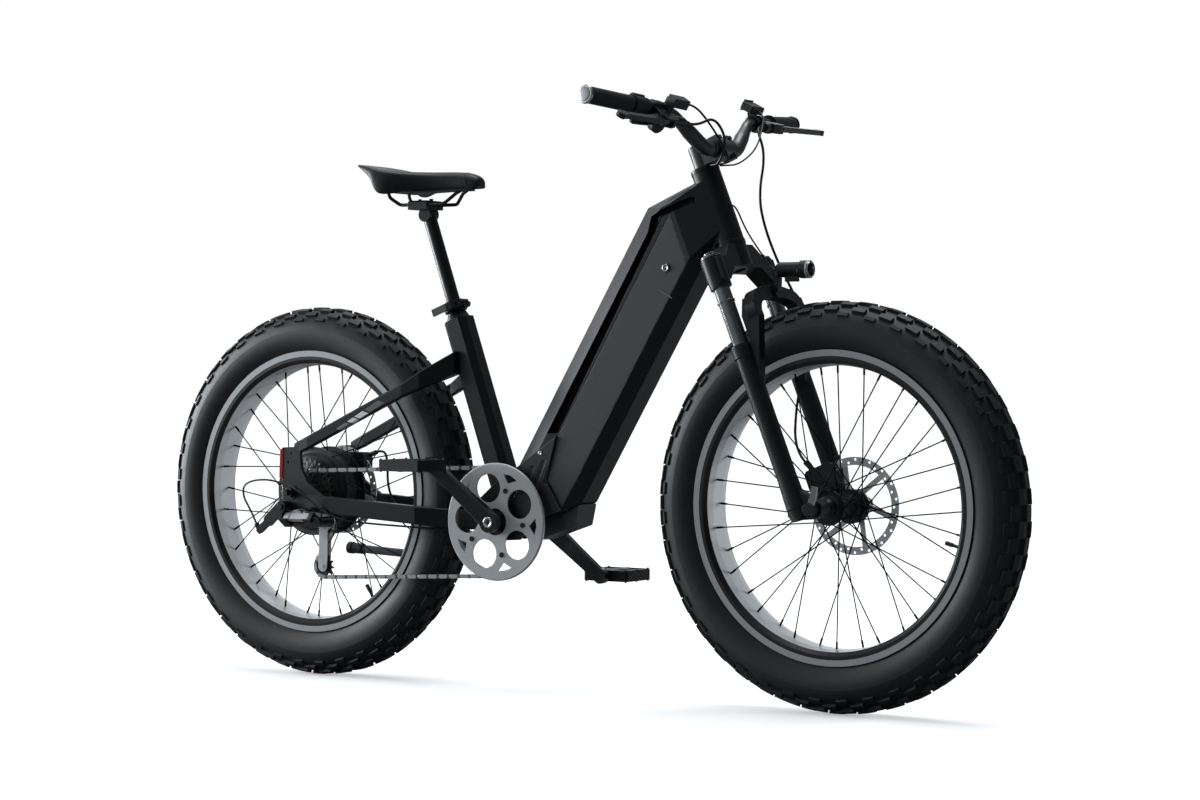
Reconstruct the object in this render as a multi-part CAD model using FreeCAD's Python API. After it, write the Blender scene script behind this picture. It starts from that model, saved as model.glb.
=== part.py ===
import FreeCAD, Part
import math
import os

os.makedirs("parts", exist_ok=True)
V = FreeCAD.Vector

# Driving sizes in millimetres. X is forward, the drive side is at minus Y, Z is up.
WHEELBASE = 1200.0
TYRE_R = 374.0
TYRE_SECTION_R = 48.3
KNOB_H = 6.0
KNOB_PITCHES = 40
RIM_R = 285.5
RIM_FACE = 18.5
RIM_HALF = 40.0
BEAD_R = 279.6
SPOKES = 36
SPOKE_R = 1.2
HEAD_ANGLE = 68.0
AXLE_OFFSET_X = 36.0
HEAD_T0 = 521.0
HEAD_T1 = 664.0
HEAD_R = 27.0
CUP_R = 22.0
STEERER_R = 14.3
LEG_Y = 90.0
STANCHION_R = 15.0
LEG_R = 18.5
LEG_TOP_T = 316.0
FORK_TRAVEL = 80.0
SOCKET_R = 20.5
FRONT_OLD = 135.0
REAR_OLD = 175.0
DROPOUT_T = 8.0
THRU_R = 7.5
DISC_R = 90.0
DISC_T = 1.8
FRONT_DISC_Y = 59.6
REAR_DISC_Y = 66.9
BB_X = -115.0
BB_Z = 328.0
BB_HALF = 50.0
BB_R = 24.0
SEAT_ANGLE = 70.5
SEAT_TOP_T = 416.0
NECK_TOP_T = 455.0
NECK_R = 17.5
POST_R = 13.6
POST_LENGTH = 350.0
POST_TOP_T = 640.0
DOWN_ANGLE = 59.0
DOWN_HALF = 48.0
CHANNEL_DEPTH = 17.0
DOWN_REAR = 306.0
DOWN_FRONT = 141.0
PANEL_REAR = 242.0
PANEL_FRONT = 163.0
PANEL_T = 4.0
PITCH = 12.7
RING_TEETH = 52
SPROCKETS = (11, 13, 15, 18, 21, 24, 28, 32)
SPROCKET_STEP = 4.8
USED = 4
PULLEY_TEETH = 11
CHAIN_Y = -62.0
ROLLER_R = 3.86
GUARD_R = 114.0
CRANK = 170.0
BOLT_CIRCLE = 65.0
WINDOW_R = 28.0
WINDOW_CIRCLE = 67.0
CRANK_REST = 140.0
BAR_R = 11.1
BAR_CLAMP_R = 15.9
BAR_THICK_R = 14.2
BAR_HALF = 370.0
RUN = 0.06
GAP = 0.3

AXLE_Z = 374.0
LIFT = TYRE_R - AXLE_Z
RING_T = LEG_TOP_T + FORK_TRAVEL + 3.0
REAR_X = -WHEELBASE / 2
FRONT_X = WHEELBASE / 2
Y = V(0, 1, 0)
HA = math.radians(HEAD_ANGLE)
S_UP = V(-math.cos(HA), 0, math.sin(HA))
S_FWD = V(math.sin(HA), 0, math.cos(HA))
S_ORG = V(FRONT_X - AXLE_OFFSET_X, 0, AXLE_Z)
SA = math.radians(SEAT_ANGLE)
T_UP = V(-math.cos(SA), 0, math.sin(SA))
T_FWD = V(math.sin(SA), 0, math.cos(SA))
BB = V(BB_X, 0, BB_Z)
DA = math.radians(DOWN_ANGLE)
D_UP = V(math.cos(DA), 0, math.sin(DA))
D_REAR = V(-math.sin(DA), 0, math.cos(DA))


def steer(t, p, y=0.0):
    return S_ORG + S_UP * t + S_FWD * p + Y * y


def seat(t, u, y=0.0):
    return BB + T_UP * t + T_FWD * u + Y * y


def down(n, z):
    return ((D_REAR.z * z - n) / -D_REAR.x, z)


def outline(path, at):
    edges = []
    last = path[0]
    for step in list(path[1:]) + [path[0]]:
        if isinstance(step[0], tuple):
            edges.append(Part.Arc(at(*last), at(*step[0]), at(*step[1])).toShape())
            last = step[1]
        else:
            if step != last:
                edges.append(Part.makeLine(at(*last), at(*step)))
            last = step
    return Part.Wire(edges)


def prism(path, at, push):
    return Part.Face(outline(path, at)).extrude(push)


def prism_y(path, y0, y1):
    return prism(path, lambda x, z: V(x, y0, z), V(0, y1 - y0, 0))


def turned(path, x=0.0, z=0.0):
    face = Part.Face(outline(path, lambda r, y: V(r, y, 0)))
    solid = face.revolve(V(0, 0, 0), Y, 360)
    solid.translate(V(x, 0, z))
    return solid


def rod(r, a, b):
    return Part.makeCylinder(r, (b - a).Length, a, b - a)


def sleeve(ro, ri, a, b):
    d = (b - a).normalize()
    return rod(ro, a, b).cut(rod(ri, a - d * 5, b + d * 5))


def ycyl(r, y0, y1, x, z):
    return Part.makeCylinder(r, y1 - y0, V(x, y0, z), Y)


def block(x0, x1, y0, y1, z0, z1):
    return Part.makeBox(x1 - x0, y1 - y0, z1 - z0, V(x0, y0, z0))


def fuse(items):
    out = items[0].multiFuse(items[1:])
    return out.removeSplitter()


def mirrored(shape):
    return shape.mirror(V(0, 0, 0), Y)


def placed(shape, origin, ex, ey, ez):
    m = FreeCAD.Matrix(ex.x, ey.x, ez.x, origin.x, ex.y, ey.y, ez.y, origin.y,
                       ex.z, ey.z, ez.z, origin.z, 0, 0, 0, 1)
    return shape.transformed(m, True)


def stay(sections, chamfer=3.0):
    wires = []
    for x, y, z, w, h in sections:
        a, b, c = w / 2, h / 2, chamfer
        ring = [(a, b - c), (a - c, b), (c - a, b), (-a, b - c),
                (-a, c - b), (c - a, -b), (a - c, -b), (a, c - b)]
        wires.append(outline(ring, lambda u, v: V(x, y + u, z + v)))
    return Part.makeLoft(wires, True, True)


def bent(points, radius):
    edges = []
    last = points[0]
    for i in range(1, len(points) - 1):
        p = points[i]
        a = (points[i - 1] - p).normalize()
        b = (points[i + 1] - p).normalize()
        half = math.acos(max(-1.0, min(1.0, a.dot(b)))) / 2
        reach = min((points[i - 1] - p).Length, (points[i + 1] - p).Length) * 0.49
        cut = min(radius / math.tan(half), reach)
        r = cut * math.tan(half)
        mid = p + (a + b).normalize() * (r / math.sin(half) - r)
        edges.append(Part.makeLine(last, p + a * cut))
        edges.append(Part.Arc(p + a * cut, mid, p + b * cut).toShape())
        last = p + b * cut
    edges.append(Part.makeLine(last, points[-1]))
    return Part.Wire(edges)


def cord(points, r, radius):
    wire = bent(points, radius)
    start = points[0]
    ring = Part.Wire(Part.makeCircle(r, start, (points[1] - start).normalize()))
    return wire.makePipeShell([ring], True, True)


def obround(a, b, r, low, high):
    d = (b - a).normalize()
    n = V(-d.y, d.x, 0)
    e = [Part.makeLine(a + n * r, b + n * r), Part.Arc(b + n * r, b + d * r, b - n * r).toShape(),
         Part.makeLine(b - n * r, a - n * r), Part.Arc(a - n * r, a - d * r, a + n * r).toShape()]
    solid = Part.Face(Part.Wire(e)).extrude(V(0, 0, high - low))
    solid.translate(V(0, 0, low))
    return solid


def plate_y(a, b, r, y0, y1):
    solid = obround(V(a[0], -a[1], 0), V(b[0], -b[1], 0), r, y0, y1)
    solid.rotate(V(0, 0, 0), V(1, 0, 0), -90)
    return solid


# Wheels
def tyre():
    c = TYRE_R - KNOB_H - TYRE_SECTION_R
    lip = RIM_HALF - 3.4
    side = RIM_R + 0.7
    low, high = TYRE_R - 71, TYRE_R - 46
    path = [(BEAD_R + 0.2, -30), (BEAD_R + 0.2, -lip), (side, -lip),
            ((low, -45.2), (high, -47.6)), ((c + TYRE_SECTION_R, 0), (high, 47.6)),
            ((low, 45.2), (side, lip)), (BEAD_R + 0.2, lip), (BEAD_R + 0.2, 30), (286, 30),
            ((low + 1, 40.4), (high, 42.9)), ((c + 43.6, 0), (high, -42.9)),
            ((low + 1, -40.4), (286, -30))]
    casing = turned(path)
    step = 360.0 / KNOB_PITCHES
    rows = [(-10, 10, 0.0, 4.6, KNOB_H), (14, 29, 0.5, 4.4, KNOB_H), (33, 46, 0.0, 4.2, 5.4),
            (49, 59, 0.5, 3.6, 3.8)]
    rows += [(-b, -a, o, w, h) for a, b, o, w, h in rows[1:]]
    knobs = []
    for a, b, offset, width, height in rows:
        quad = []
        low = TYRE_SECTION_R - 1.6
        top = (TYRE_SECTION_R + height) / math.cos(math.radians((b - a) / 2 - 1.2))
        for ang, rad in ((a, low), (a + 1.2, top), (b - 1.2, top), (b, low)):
            q = math.radians(ang)
            quad.append((c + rad * math.cos(q), rad * math.sin(q)))
        face = Part.Face(outline(quad, lambda r, y: V(r, y, 0)))
        one = face.revolve(V(0, 0, 0), Y, width)
        for k in range(KNOB_PITCHES):
            copy = one.copy()
            copy.rotate(V(0, 0, 0), Y, (k + offset) * step + 90 - width / 2)
            knobs.append(copy)
    return casing.multiFuse(knobs)


def rim(valve_angle):
    inner = RIM_R - RIM_FACE
    path = [(RIM_R, -RIM_HALF), (RIM_R, 3.2 - RIM_HALF), (BEAD_R, 3.2 - RIM_HALF), (BEAD_R, -27),
            (272, -20), (272, 20), (BEAD_R, 27), (BEAD_R, RIM_HALF - 3.2), (RIM_R, RIM_HALF - 3.2),
            (RIM_R, RIM_HALF), (inner, RIM_HALF), (inner - 7, 33), (inner - 10, 16),
            (inner - 10, -16), (inner - 7, -33), (inner, -RIM_HALF)]
    cavity = [(269.6, -18.5), (269.6, 18.5), (277, 26), (277, 34.5), (270, 37), (263, 31.5),
              (inner - 7.6, 15), (inner - 7.6, -15), (263, -31.5), (270, -37), (277, -34.5), (277, -26)]
    valve = fuse([Part.makeCylinder(3.0, 30, V(0, 0, -(inner - 10)), V(0, 0, 1)),
                  Part.makeCylinder(4.0, 14, V(0, 0, 32 - inner), V(0, 0, 1)),
                  Part.makeCylinder(5.5, 3, V(0, 0, 10 - inner), V(0, 0, 1))])
    valve.rotate(V(0, 0, 0), Y, valve_angle)
    return [turned(path).cut(turned(cavity)), valve]


def spokes(flange_r, flange_y, cross):
    out = []
    end = RIM_R - RIM_FACE - 10.0
    for k in range(SPOKES):
        side = -1 if k % 2 else 1
        lean = 1 if (k // 2) % 2 else -1
        a = 2 * math.pi * k / SPOKES
        b = a + lean * math.radians(cross)
        face = flange_y + (1.75 + SPOKE_R + 0.4) * lean + (0.6 if lean > 0 else 0.0)
        p = V(flange_r * math.cos(b), side * face, flange_r * math.sin(b))
        q = V(end * math.cos(a), side * 9.0, end * math.sin(a))
        d = (q - p).normalize()
        q = q - d * 0.7
        spoke = rod(SPOKE_R, p, q)
        nipple = rod(2.0, q - d * 13, q)
        out.append(fuse([spoke, nipple]))
    return out


def disc(y):
    low, high = y - DISC_T / 2, y + DISC_T / 2
    ring = ycyl(DISC_R, low, high, 0, 0).cut(ycyl(DISC_R - 15, low - 1, high + 1, 0, 0))
    hub = ycyl(31, low, high, 0, 0).cut(ycyl(20, low - 1, high + 1, 0, 0))
    arms = []
    for k in range(6):
        a = block(26, DISC_R - 12, low, high, -5, 5)
        a.rotate(V(28, 0, 0), Y, 22)
        a.rotate(V(0, 0, 0), Y, 60 * k)
        arms.append(a)
    plate = fuse([ring, hub] + arms)
    holes = []
    for k in range(36):
        h = ycyl(2.6, low - 1, high + 1, DISC_R - (4.6 if k % 2 else 10.2), 0)
        h.rotate(V(0, 0, 0), Y, 10 * k)
        holes.append(h)
    for k in range(6):
        h = ycyl(2.6, low - 1, high + 1, 22.0 + 3.5, 0)
        h.rotate(V(0, 0, 0), Y, 60 * k + 30)
        holes.append(h)
    return plate.cut(Part.makeCompound(holes))


def front_hub():
    e = FRONT_OLD / 2 - GAP
    d = FRONT_DISC_Y - DISC_T / 2
    b = THRU_R + RUN
    path = [(b, -e), (12, -e), (12, -54), (17, -48), (17, -43), (23, -41.5), (32, -41.5), (32, -38),
            (23, -38), (19, -34), (16, -20), (16, 20), (19, 34), (23, 38), (32, 38), (32, 41.5),
            (23, 41.5), (18, 43), (18, 50), (30, 52), (30, d), (12, d), (12, e), (b, e)]
    return turned(path)


def motor_shell():
    d = REAR_DISC_Y - DISC_T / 2
    b = 17.0 + RUN
    path = [(b, -42), (60, -42), (72, -36), (78, -30), (81, -29), (90, -29), (90, -25.5),
            (81, -25.5), (79, -24), (79, 24), (81, 25.5), (90, 25.5), (90, 29), (81, 29), (78, 30),
            (72, 38), (56, 45), (34, 47), (30, 52), (30, d), (b, d),
            (b, 38), (66, 36), (73, 28), (73, -28), (66, -33), (b, -36)]
    return turned(path)


def motor_axle():
    e = REAR_OLD / 2
    rod_ = fuse([ycyl(6.0, -118, 118, 0, 0), ycyl(10.0, -e, e, 0, 0)])
    bearings = [ycyl(17.0, -41.5, -37, 0, 0), ycyl(17.0, 48, 60, 0, 0)]
    core = ycyl(60, -26, 28, 0, 0)
    body = fuse([rod_, core] + bearings)
    out = [body]
    for s in (-1, 1):
        f = s * (e + DROPOUT_T)
        a, b = (f, f + 1.5) if s > 0 else (f - 1.5, f)
        washer = ycyl(14, a, b, 0, 0).cut(ycyl(6.0, -130, 130, 0, 0))
        g = s * (e + DROPOUT_T + 1.5)
        hexa = [(11 * math.cos(math.pi * k / 3), 11 * math.sin(math.pi * k / 3)) for k in range(6)]
        a, b = (g, g + 9) if s > 0 else (g - 9, g)
        nut = prism_y(hexa, a, b).cut(ycyl(6.0, -130, 130, 0, 0))
        out += [washer, nut]
    return out


# Drive
def pitch_r(teeth):
    return teeth * PITCH / (2 * math.pi)


def toothed(teeth, phase, tip=2.8):
    r = pitch_r(teeth)
    v = ROLLER_R + GAP
    edges = []
    pts = []
    for k in range(teeth):
        a = phase + 2 * math.pi * k / teeth
        rad = (math.cos(a), math.sin(a))
        tan = (-rad[1], rad[0])
        h = math.radians(72)

        def at(ang):
            m, n = -math.cos(ang) * v, math.sin(ang) * v
            return V(rad[0] * (r + m) + tan[0] * n, 0, rad[1] * (r + m) + tan[1] * n)
        b = a + math.pi / teeth
        w = 1.0 / r
        tips = [V((r + tip) * math.cos(b - w), 0, (r + tip) * math.sin(b - w)),
                V((r + tip) * math.cos(b + w), 0, (r + tip) * math.sin(b + w))]
        pts.append((at(-h), at(0), at(h), tips[0], tips[1]))
    for k in range(teeth):
        s, m, e, t0, t1 = pts[k]
        edges.append(Part.Arc(s, m, e).toShape())
        edges.append(Part.makeLine(e, t0))
        edges.append(Part.makeLine(t0, t1))
        edges.append(Part.makeLine(t1, pts[(k + 1) % teeth][0]))
    return Part.Face(Part.Wire(edges))


def gear(teeth, phase, y, thick, x, z, tip=2.8):
    solid = toothed(teeth, phase, tip).extrude(V(0, thick, 0))
    solid.translate(V(x, y - thick / 2, z))
    return solid


GUIDE = (-540.0, 305.0)
TENSION_0 = (-546.0, 226.5)
P_PIVOT = (-522.0, 316.0)


def belt(tension):
    rings = [(BB_X, BB_Z, pitch_r(RING_TEETH), -1), (tension[0], tension[1], pitch_r(PULLEY_TEETH), -1),
             (GUIDE[0], GUIDE[1], pitch_r(PULLEY_TEETH), 1),
             (REAR_X, AXLE_Z, pitch_r(SPROCKETS[USED]), -1)]
    legs = []
    for i in range(4):
        x1, z1, r1, o1 = rings[i]
        x2, z2, r2, o2 = rings[(i + 1) % 4]
        dist = math.hypot(x2 - x1, z2 - z1)
        k = o2 * r2 - o1 * r1
        run = math.sqrt(dist * dist - k * k)
        ang = math.atan2(z2 - z1, x2 - x1) - math.atan2(k, run)
        per = (-math.sin(ang), math.cos(ang))
        p = (x1 - o1 * r1 * per[0], z1 - o1 * r1 * per[1])
        q = (x2 - o2 * r2 * per[0], z2 - o2 * r2 * per[1])
        legs.append((p, q, run))
    parts = []
    for i in range(4):
        p, q, run = legs[i]
        parts.append(("line", run, p, q))
        x, z, r, o = rings[(i + 1) % 4]
        a0 = math.atan2(q[1] - z, q[0] - x)
        nxt = legs[(i + 1) % 4][0]
        a1 = math.atan2(nxt[1] - z, nxt[0] - x)
        turn = (a1 - a0) * o % (2 * math.pi)
        parts.append(("arc", turn * r, (x, z, r, o), a0))
    return parts, sum(p[1] for p in parts)


def swung(angle):
    x, z = TENSION_0[0] - P_PIVOT[0], TENSION_0[1] - P_PIVOT[1]
    c, s = math.cos(angle), math.sin(angle)
    return (P_PIVOT[0] + c * x - s * z, P_PIVOT[1] + s * x + c * z)


def solve_tension():
    links = 2 * round(belt(TENSION_0)[1] / PITCH / 2)
    low, high = -0.35, 0.35
    for _ in range(60):
        mid = (low + high) / 2
        if (belt(swung(mid))[1] < links * PITCH) == (belt(swung(low))[1] < links * PITCH):
            low = mid
        else:
            high = mid
    return swung(low), links


TENSION, LINKS = solve_tension()


def rollers():
    parts, total = belt(TENSION)
    out = []
    phases = {}
    for k in range(LINKS):
        s = k * total / LINKS
        for kind, length, a, b in parts:
            if s <= length:
                break
            s -= length
        if kind == "line":
            f = s / length
            out.append((a[0] + (b[0] - a[0]) * f, a[1] + (b[1] - a[1]) * f))
        else:
            ang = b + a[3] * s / a[2]
            out.append((a[0] + a[2] * math.cos(ang), a[1] + a[2] * math.sin(ang)))
            phases[(a[0], a[1])] = ang
    return out, phases


ROLLERS, PHASES = rollers()


def chain():
    out = []
    plate = obround(V(0, 0, 0), V(PITCH, 0, 0), 3.9, 0, 0.9)
    plate.rotate(V(0, 0, 0), V(1, 0, 0), 90)
    for k in range(LINKS):
        x0, z0 = ROLLERS[k]
        x1, z1 = ROLLERS[(k + 1) % LINKS]
        out.append(ycyl(ROLLER_R - 0.2, CHAIN_Y - 1.5, CHAIN_Y + 1.5, x0, z0))
        ang = math.degrees(math.atan2(z1 - z0, x1 - x0))
        inner = 1.5 if k % 2 else 2.4
        for y in (CHAIN_Y + inner + 0.9, CHAIN_Y - inner):
            p = plate.copy()
            p.rotate(V(0, 0, 0), Y, -ang)
            slack = (PITCH - math.hypot(x1 - x0, z1 - z0)) / 2
            c, s = math.cos(math.radians(ang)), math.sin(math.radians(ang))
            p.translate(V(x0 - slack * c, y, z0 - slack * s))
            out.append(p)
    return out


def cassette():
    parts = [ycyl(17.5, -84.0, -46.4, 0, 0)]
    for i, teeth in enumerate(SPROCKETS):
        y = CHAIN_Y + (i - USED) * SPROCKET_STEP
        phase = PHASES[(REAR_X, AXLE_Z)] if i == USED else 0.3 * i
        g = gear(teeth, phase, y, 2.0, 0, 0)
        if teeth > 15:
            r = pitch_r(teeth)
            for k in range(6):
                h = ycyl(r * 0.16, y - 4, y + 4, r * 0.66, 0)
                h.rotate(V(0, 0, 0), Y, 60 * k + 20 * i)
                g = g.cut(h)
        parts.append(g)
    body = fuse(parts).cut(ycyl(10.0 + RUN, -100, 0, 0, 0))
    body.translate(V(REAR_X, 0, AXLE_Z))
    return body


def round_bb(r, degrees):
    a = math.radians(degrees)
    return (BB_X + r * math.cos(a), BB_Z + r * math.sin(a))


def chainring():
    g = gear(RING_TEETH, PHASES[(BB_X, BB_Z)], CHAIN_Y, 2.2, BB_X, BB_Z)
    g = g.cut(ycyl(WINDOW_CIRCLE + WINDOW_R, -80, -40, BB_X, BB_Z))
    y0, y1 = CHAIN_Y - 8.6, CHAIN_Y - 5.6
    c = GUARD_R
    path = [(26, y1), (26, y0), (c - 4, y0), ((c - 1.2, y0 + 0.6), (c, y0 + 2.4)), (c, y1 + 1.2),
            (c - 2, y1 + 1.2), (c - 3, y1)]
    guard = turned(path, BB_X, BB_Z)
    rivets = []
    holes = []
    for k in range(5):
        bolt = CRANK_REST + 72 * k
        at = round_bb(BOLT_CIRCLE, bolt)
        for turn in (18, 54):
            pin = round_bb(WINDOW_CIRCLE + WINDOW_R + 3.6, bolt + turn)
            rivets.append(ycyl(2.0, y1, CHAIN_Y, pin[0], pin[1]))
        holes.append(ycyl(5.0, -90, -40, at[0], at[1]))
        guard = guard.cut(ycyl(WINDOW_R, -90, -40, *round_bb(WINDOW_CIRCLE, bolt + 36)))
        slot = [round_bb(80, bolt), round_bb(95, bolt + 10), round_bb(97, bolt), round_bb(95, bolt - 10)]
        guard = guard.cut(prism_y(slot, -90, -40))
    ring = fuse([g] + rivets)
    return [ring, guard.cut(Part.makeCompound(holes))]


def crank_arms():
    out = []
    spindle = ycyl(9.0, -90, 90, BB_X, BB_Z)
    for side, ang in ((-1, CRANK_REST), (1, CRANK_REST - 180)):
        a = math.radians(ang)
        d = V(math.cos(a), 0, math.sin(a))
        n = V(-d.z, 0, d.x)
        eye = BB + d * CRANK

        def rect(r, w, y0, y1, c):
            ring = [(w, y0), (w, y1 - c), (w - c, y1), (c - w, y1), (-w, y1 - c), (-w, y0)]
            return outline(ring, lambda u, y: BB + d * r + n * u + Y * (side * y))
        arm = Part.makeLoft([rect(6, 18, 78, 95, 3), rect(100, 14.5, 88.5, 103, 3),
                             rect(CRANK, 13, 97, 111, 3)], True, True)
        parts = [arm]
        low, high = sorted((side * 97, side * 111))
        parts.append(ycyl(15, low, high, eye.x, eye.z))
        inner = 60.8 if side < 0 else 74
        low, high = sorted((side * inner, side * 95))
        parts.append(ycyl(20, low, high, BB_X, BB_Z))
        if side < 0:
            y0, y1 = CHAIN_Y - 5.6, CHAIN_Y - 1.1
            for k in range(5):
                tip = round_bb(BOLT_CIRCLE, CRANK_REST + 72 * k)
                parts.append(plate_y((BB_X, BB_Z), tip, 9, y0, y1))
                parts.append(ycyl(5.0, CHAIN_Y - 10.4, CHAIN_Y + 2.2, tip[0], tip[1]))
        solid = fuse(parts).cut(spindle)
        low, high = sorted((side * 90, side * 96))
        solid = solid.cut(ycyl(11, low, high, BB_X, BB_Z))
        low, high = sorted((side * 100, side * 175))
        axle = ycyl(6.0, low, high, eye.x, eye.z)
        out += [solid.cut(axle), axle]
    low, high = -94.5, -90
    out += [ycyl(10.5, low, high, BB_X, BB_Z), ycyl(10.5, -high, -low, BB_X, BB_Z)]
    return out + [spindle]


def pedal(side, ang):
    a = math.radians(ang)
    x, z = BB_X + CRANK * math.cos(a), BB_Z + CRANK * math.sin(a)
    y0, y1 = 113.0, 207.0
    body = block(-51, 51, y0 + 4, y1, -11, 11)
    body = body.makeChamfer(5, [e for e in body.Edges if abs(e.tangentAt(0).y) < 0.5
                                and abs(e.tangentAt(0).z) > 0.5])
    for sx in (-1, 1):
        lo, hi = sorted((sx * 14, sx * 43))
        body = body.cut(block(lo, hi, y0 + 13, y0 + 44, -20, 20))
        body = body.cut(block(lo, hi, y0 + 52, y1 - 9, -20, 20))
    body = fuse([body, ycyl(12, y0, y1 - 2, 0, 0)])
    body = body.cut(ycyl(6.0 + RUN, 0, 176, 0, 0))
    pins = []
    for sx in (-1, 1):
        for yy in (y0 + 9, y0 + 48, y1 - 5):
            pins.append(Part.makeCylinder(2, 26, V(sx * 46, yy, -13), V(0, 0, 1)))
    body = fuse([body] + pins)
    if side < 0:
        body = mirrored(body)
    body.translate(V(x, 0, z))
    return body


# Derailleur, built on its slanted pivots and then placed
LINK = 55.0
LINK_STEP = 16.0
DER_O = V(-600.0, -112.0, 325.0)
DER_X = V(1, 0, 0)
DER_Y = V(0, 0.8, -0.6)
DER_Z = V(0, 0.6, 0.8)
PIN_R = 2.5


def der(shape):
    return placed(shape, DER_O, DER_X, DER_Y, DER_Z)


def der_link(y, loose):
    bar = obround(V(0, y, 0), V(LINK, y, 0), 5.5, -7, 7)
    waist = block(10, LINK - 10, y - 8, y - 4.2, -8, 8)
    bar = bar.cut(waist)
    for x in (0, LINK):
        hole = PIN_R + (GAP if (loose and x) else RUN)
        bar = bar.cut(Part.makeCylinder(hole, 20, V(x, y, -10), V(0, 0, 1)))
    return der(bar)


def der_ears(x0, x1, w0, w1, pins_x):
    parts = [block(x0, x1, -6, 22, 7.3, 10.3), block(x0, x1, -6, 22, -10.3, -7.3),
             block(w0, w1, -6, 22, -10.3, 10.3)]
    for y in (0, LINK_STEP):
        parts.append(Part.makeCylinder(PIN_R, 20.6, V(pins_x, y, -10.3), V(0, 0, 1)))
    return der(fuse(parts))


B_PIVOT = (-611.0, 345.0)


ADJUSTER = V(-678.0, -112.5, 309.3)
ADJUSTER_DIR = V(-0.5, 0, 0.866).normalize()


def der_knuckle():
    y0 = -(REAR_OLD / 2 + DROPOUT_T)
    parts = [der_ears(-14, 6, -14, -7, 0), ycyl(11, -118, y0, B_PIVOT[0], B_PIVOT[1]),
             block(-620, -607, -118, -98, 322, 345),
             plate_y(B_PIVOT, (-643, 317), 12, -118, -111), plate_y((-643, 317), (-668, 297), 7, -117, -108),
             rod(5.0, ADJUSTER - ADJUSTER_DIR * 22, ADJUSTER),
             ycyl(6, -121, -117, B_PIVOT[0], B_PIVOT[1])]
    return fuse(parts)


CAGE_OUT = CHAIN_Y - 4.5
CAGE_IN = CHAIN_Y + 4.5


def der_hanging():
    px, pz = P_PIVOT
    parts = [der_ears(LINK - 6, LINK + 14, LINK + 7, LINK + 14, LINK),
             ycyl(10.5, -116, CAGE_OUT - 2 - GAP, px, pz)]
    return fuse(parts).cut(ycyl(4 + RUN, -104, -50, px, pz))


def der_cage():
    outer = fuse([plate_y(P_PIVOT, GUIDE, 11, CAGE_OUT - 2, CAGE_OUT),
                  plate_y(GUIDE, TENSION, 11, CAGE_OUT - 2, CAGE_OUT),
                  ycyl(4, -103, CAGE_OUT, P_PIVOT[0], P_PIVOT[1])])
    inner = plate_y(GUIDE, TENSION, 11, CAGE_IN, CAGE_IN + 2)
    pins = []
    for x, z in (GUIDE, TENSION):
        pins.append(ycyl(PIN_R, CAGE_OUT - 2, CAGE_IN + 2, x, z))
        pins.append(ycyl(4, CAGE_OUT - 3.2, CAGE_OUT - 2, x, z))
    return fuse([outer, inner] + pins)


def pulley(at):
    g = gear(PULLEY_TEETH, PHASES[at], CHAIN_Y, 2.4, at[0], at[1], 2.4)
    hub = ycyl(8, CAGE_OUT + GAP, CAGE_IN - GAP, at[0], at[1])
    return fuse([g, hub]).cut(ycyl(PIN_R + RUN, -90, -40, at[0], at[1]))


# Frame
def seat_tube():
    ring = [(27, 13), (15, 25), (-15, 25), (-27, 13), (-27, -13), (-15, -25), (15, -25), (27, -13)]
    body = prism(ring, lambda u, y: seat(0, u, y), T_UP * SEAT_TOP_T)
    cone = Part.makeCone(25.5, NECK_R + 0.5, 20, seat(SEAT_TOP_T - 4, 0), T_UP)
    neck = rod(NECK_R, seat(SEAT_TOP_T - 10, 0), seat(NECK_TOP_T, 0))
    shell = ycyl(BB_R, -BB_HALF, BB_HALF, BB_X, BB_Z)
    solid = fuse([body, cone, neck, shell])
    solid = solid.cut(rod(POST_R + 0.08, seat(150, 0), seat(NECK_TOP_T + 5, 0)))
    return solid.cut(ycyl(17, -80, 80, BB_X, BB_Z))


def seat_tube_hull():
    return fuse([seat_tube(), rod(20, seat(100, 0), seat(440, 0)), ycyl(20, -BB_HALF, BB_HALF, BB_X, BB_Z)])


# The top of the down tube reaches the middle of the head tube here.
HEAD_TOP = (327.7, 980.3)


def beam(half, hull):
    lower = [down(DOWN_FRONT, 369), (30, 353), (-20, 338), (BB_X, BB_Z - 10)]
    path = [down(DOWN_FRONT, 848), (372, 870), HEAD_TOP, (199.4, 926), down(DOWN_REAR, 440),
            (BB_X - 4, 400)] + lower[::-1]
    solid = prism_y(path, -half, half)
    for s in (-1, 1):
        rear = [(DOWN_REAR, 18), (DOWN_REAR + 40, 18), (DOWN_REAR + 40, 70), (266, 70), (266, half)]
        solid = solid.cut(prism(rear, lambda n, y: D_REAR * n + Y * (s * y), D_UP * 2000))
        front = [(DOWN_FRONT, 26), (DOWN_FRONT - 40, 26), (DOWN_FRONT - 40, 70), (162, 70), (162, half)]
        solid = solid.cut(prism(front, lambda n, y: D_REAR * n + Y * (s * y), D_UP * 2000))
        wedge = [(-65, half), (-65, 70), (40, 70), (40, half - 32.2)]
        solid = solid.cut(prism(wedge, lambda p, y: steer(380, p, s * y), S_UP * 400))
        top_dir = V(HEAD_TOP[0] - 199.4, 0, HEAD_TOP[1] - 926).normalize()
        top_n = V(-top_dir.z, 0, top_dir.x)
        base = V(199.4, 0, 926) - top_dir * 60
        top = [(0, 18), (30, 18), (30, 70), (-20, 70), (-20, half)]
        solid = solid.cut(prism(top, lambda m, y: base + top_n * m + Y * (s * y), top_dir * 300))
    return solid.cut(hull)


def channel(y0, y1):
    a = down(PANEL_REAR + 2, 500)
    path = [a, (251, 908), (306, 929), ((313, 939), (304, 943)), (218, 909),
            down(266, 878), down(266, 500)]
    return prism_y(path, y0, y1)


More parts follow.
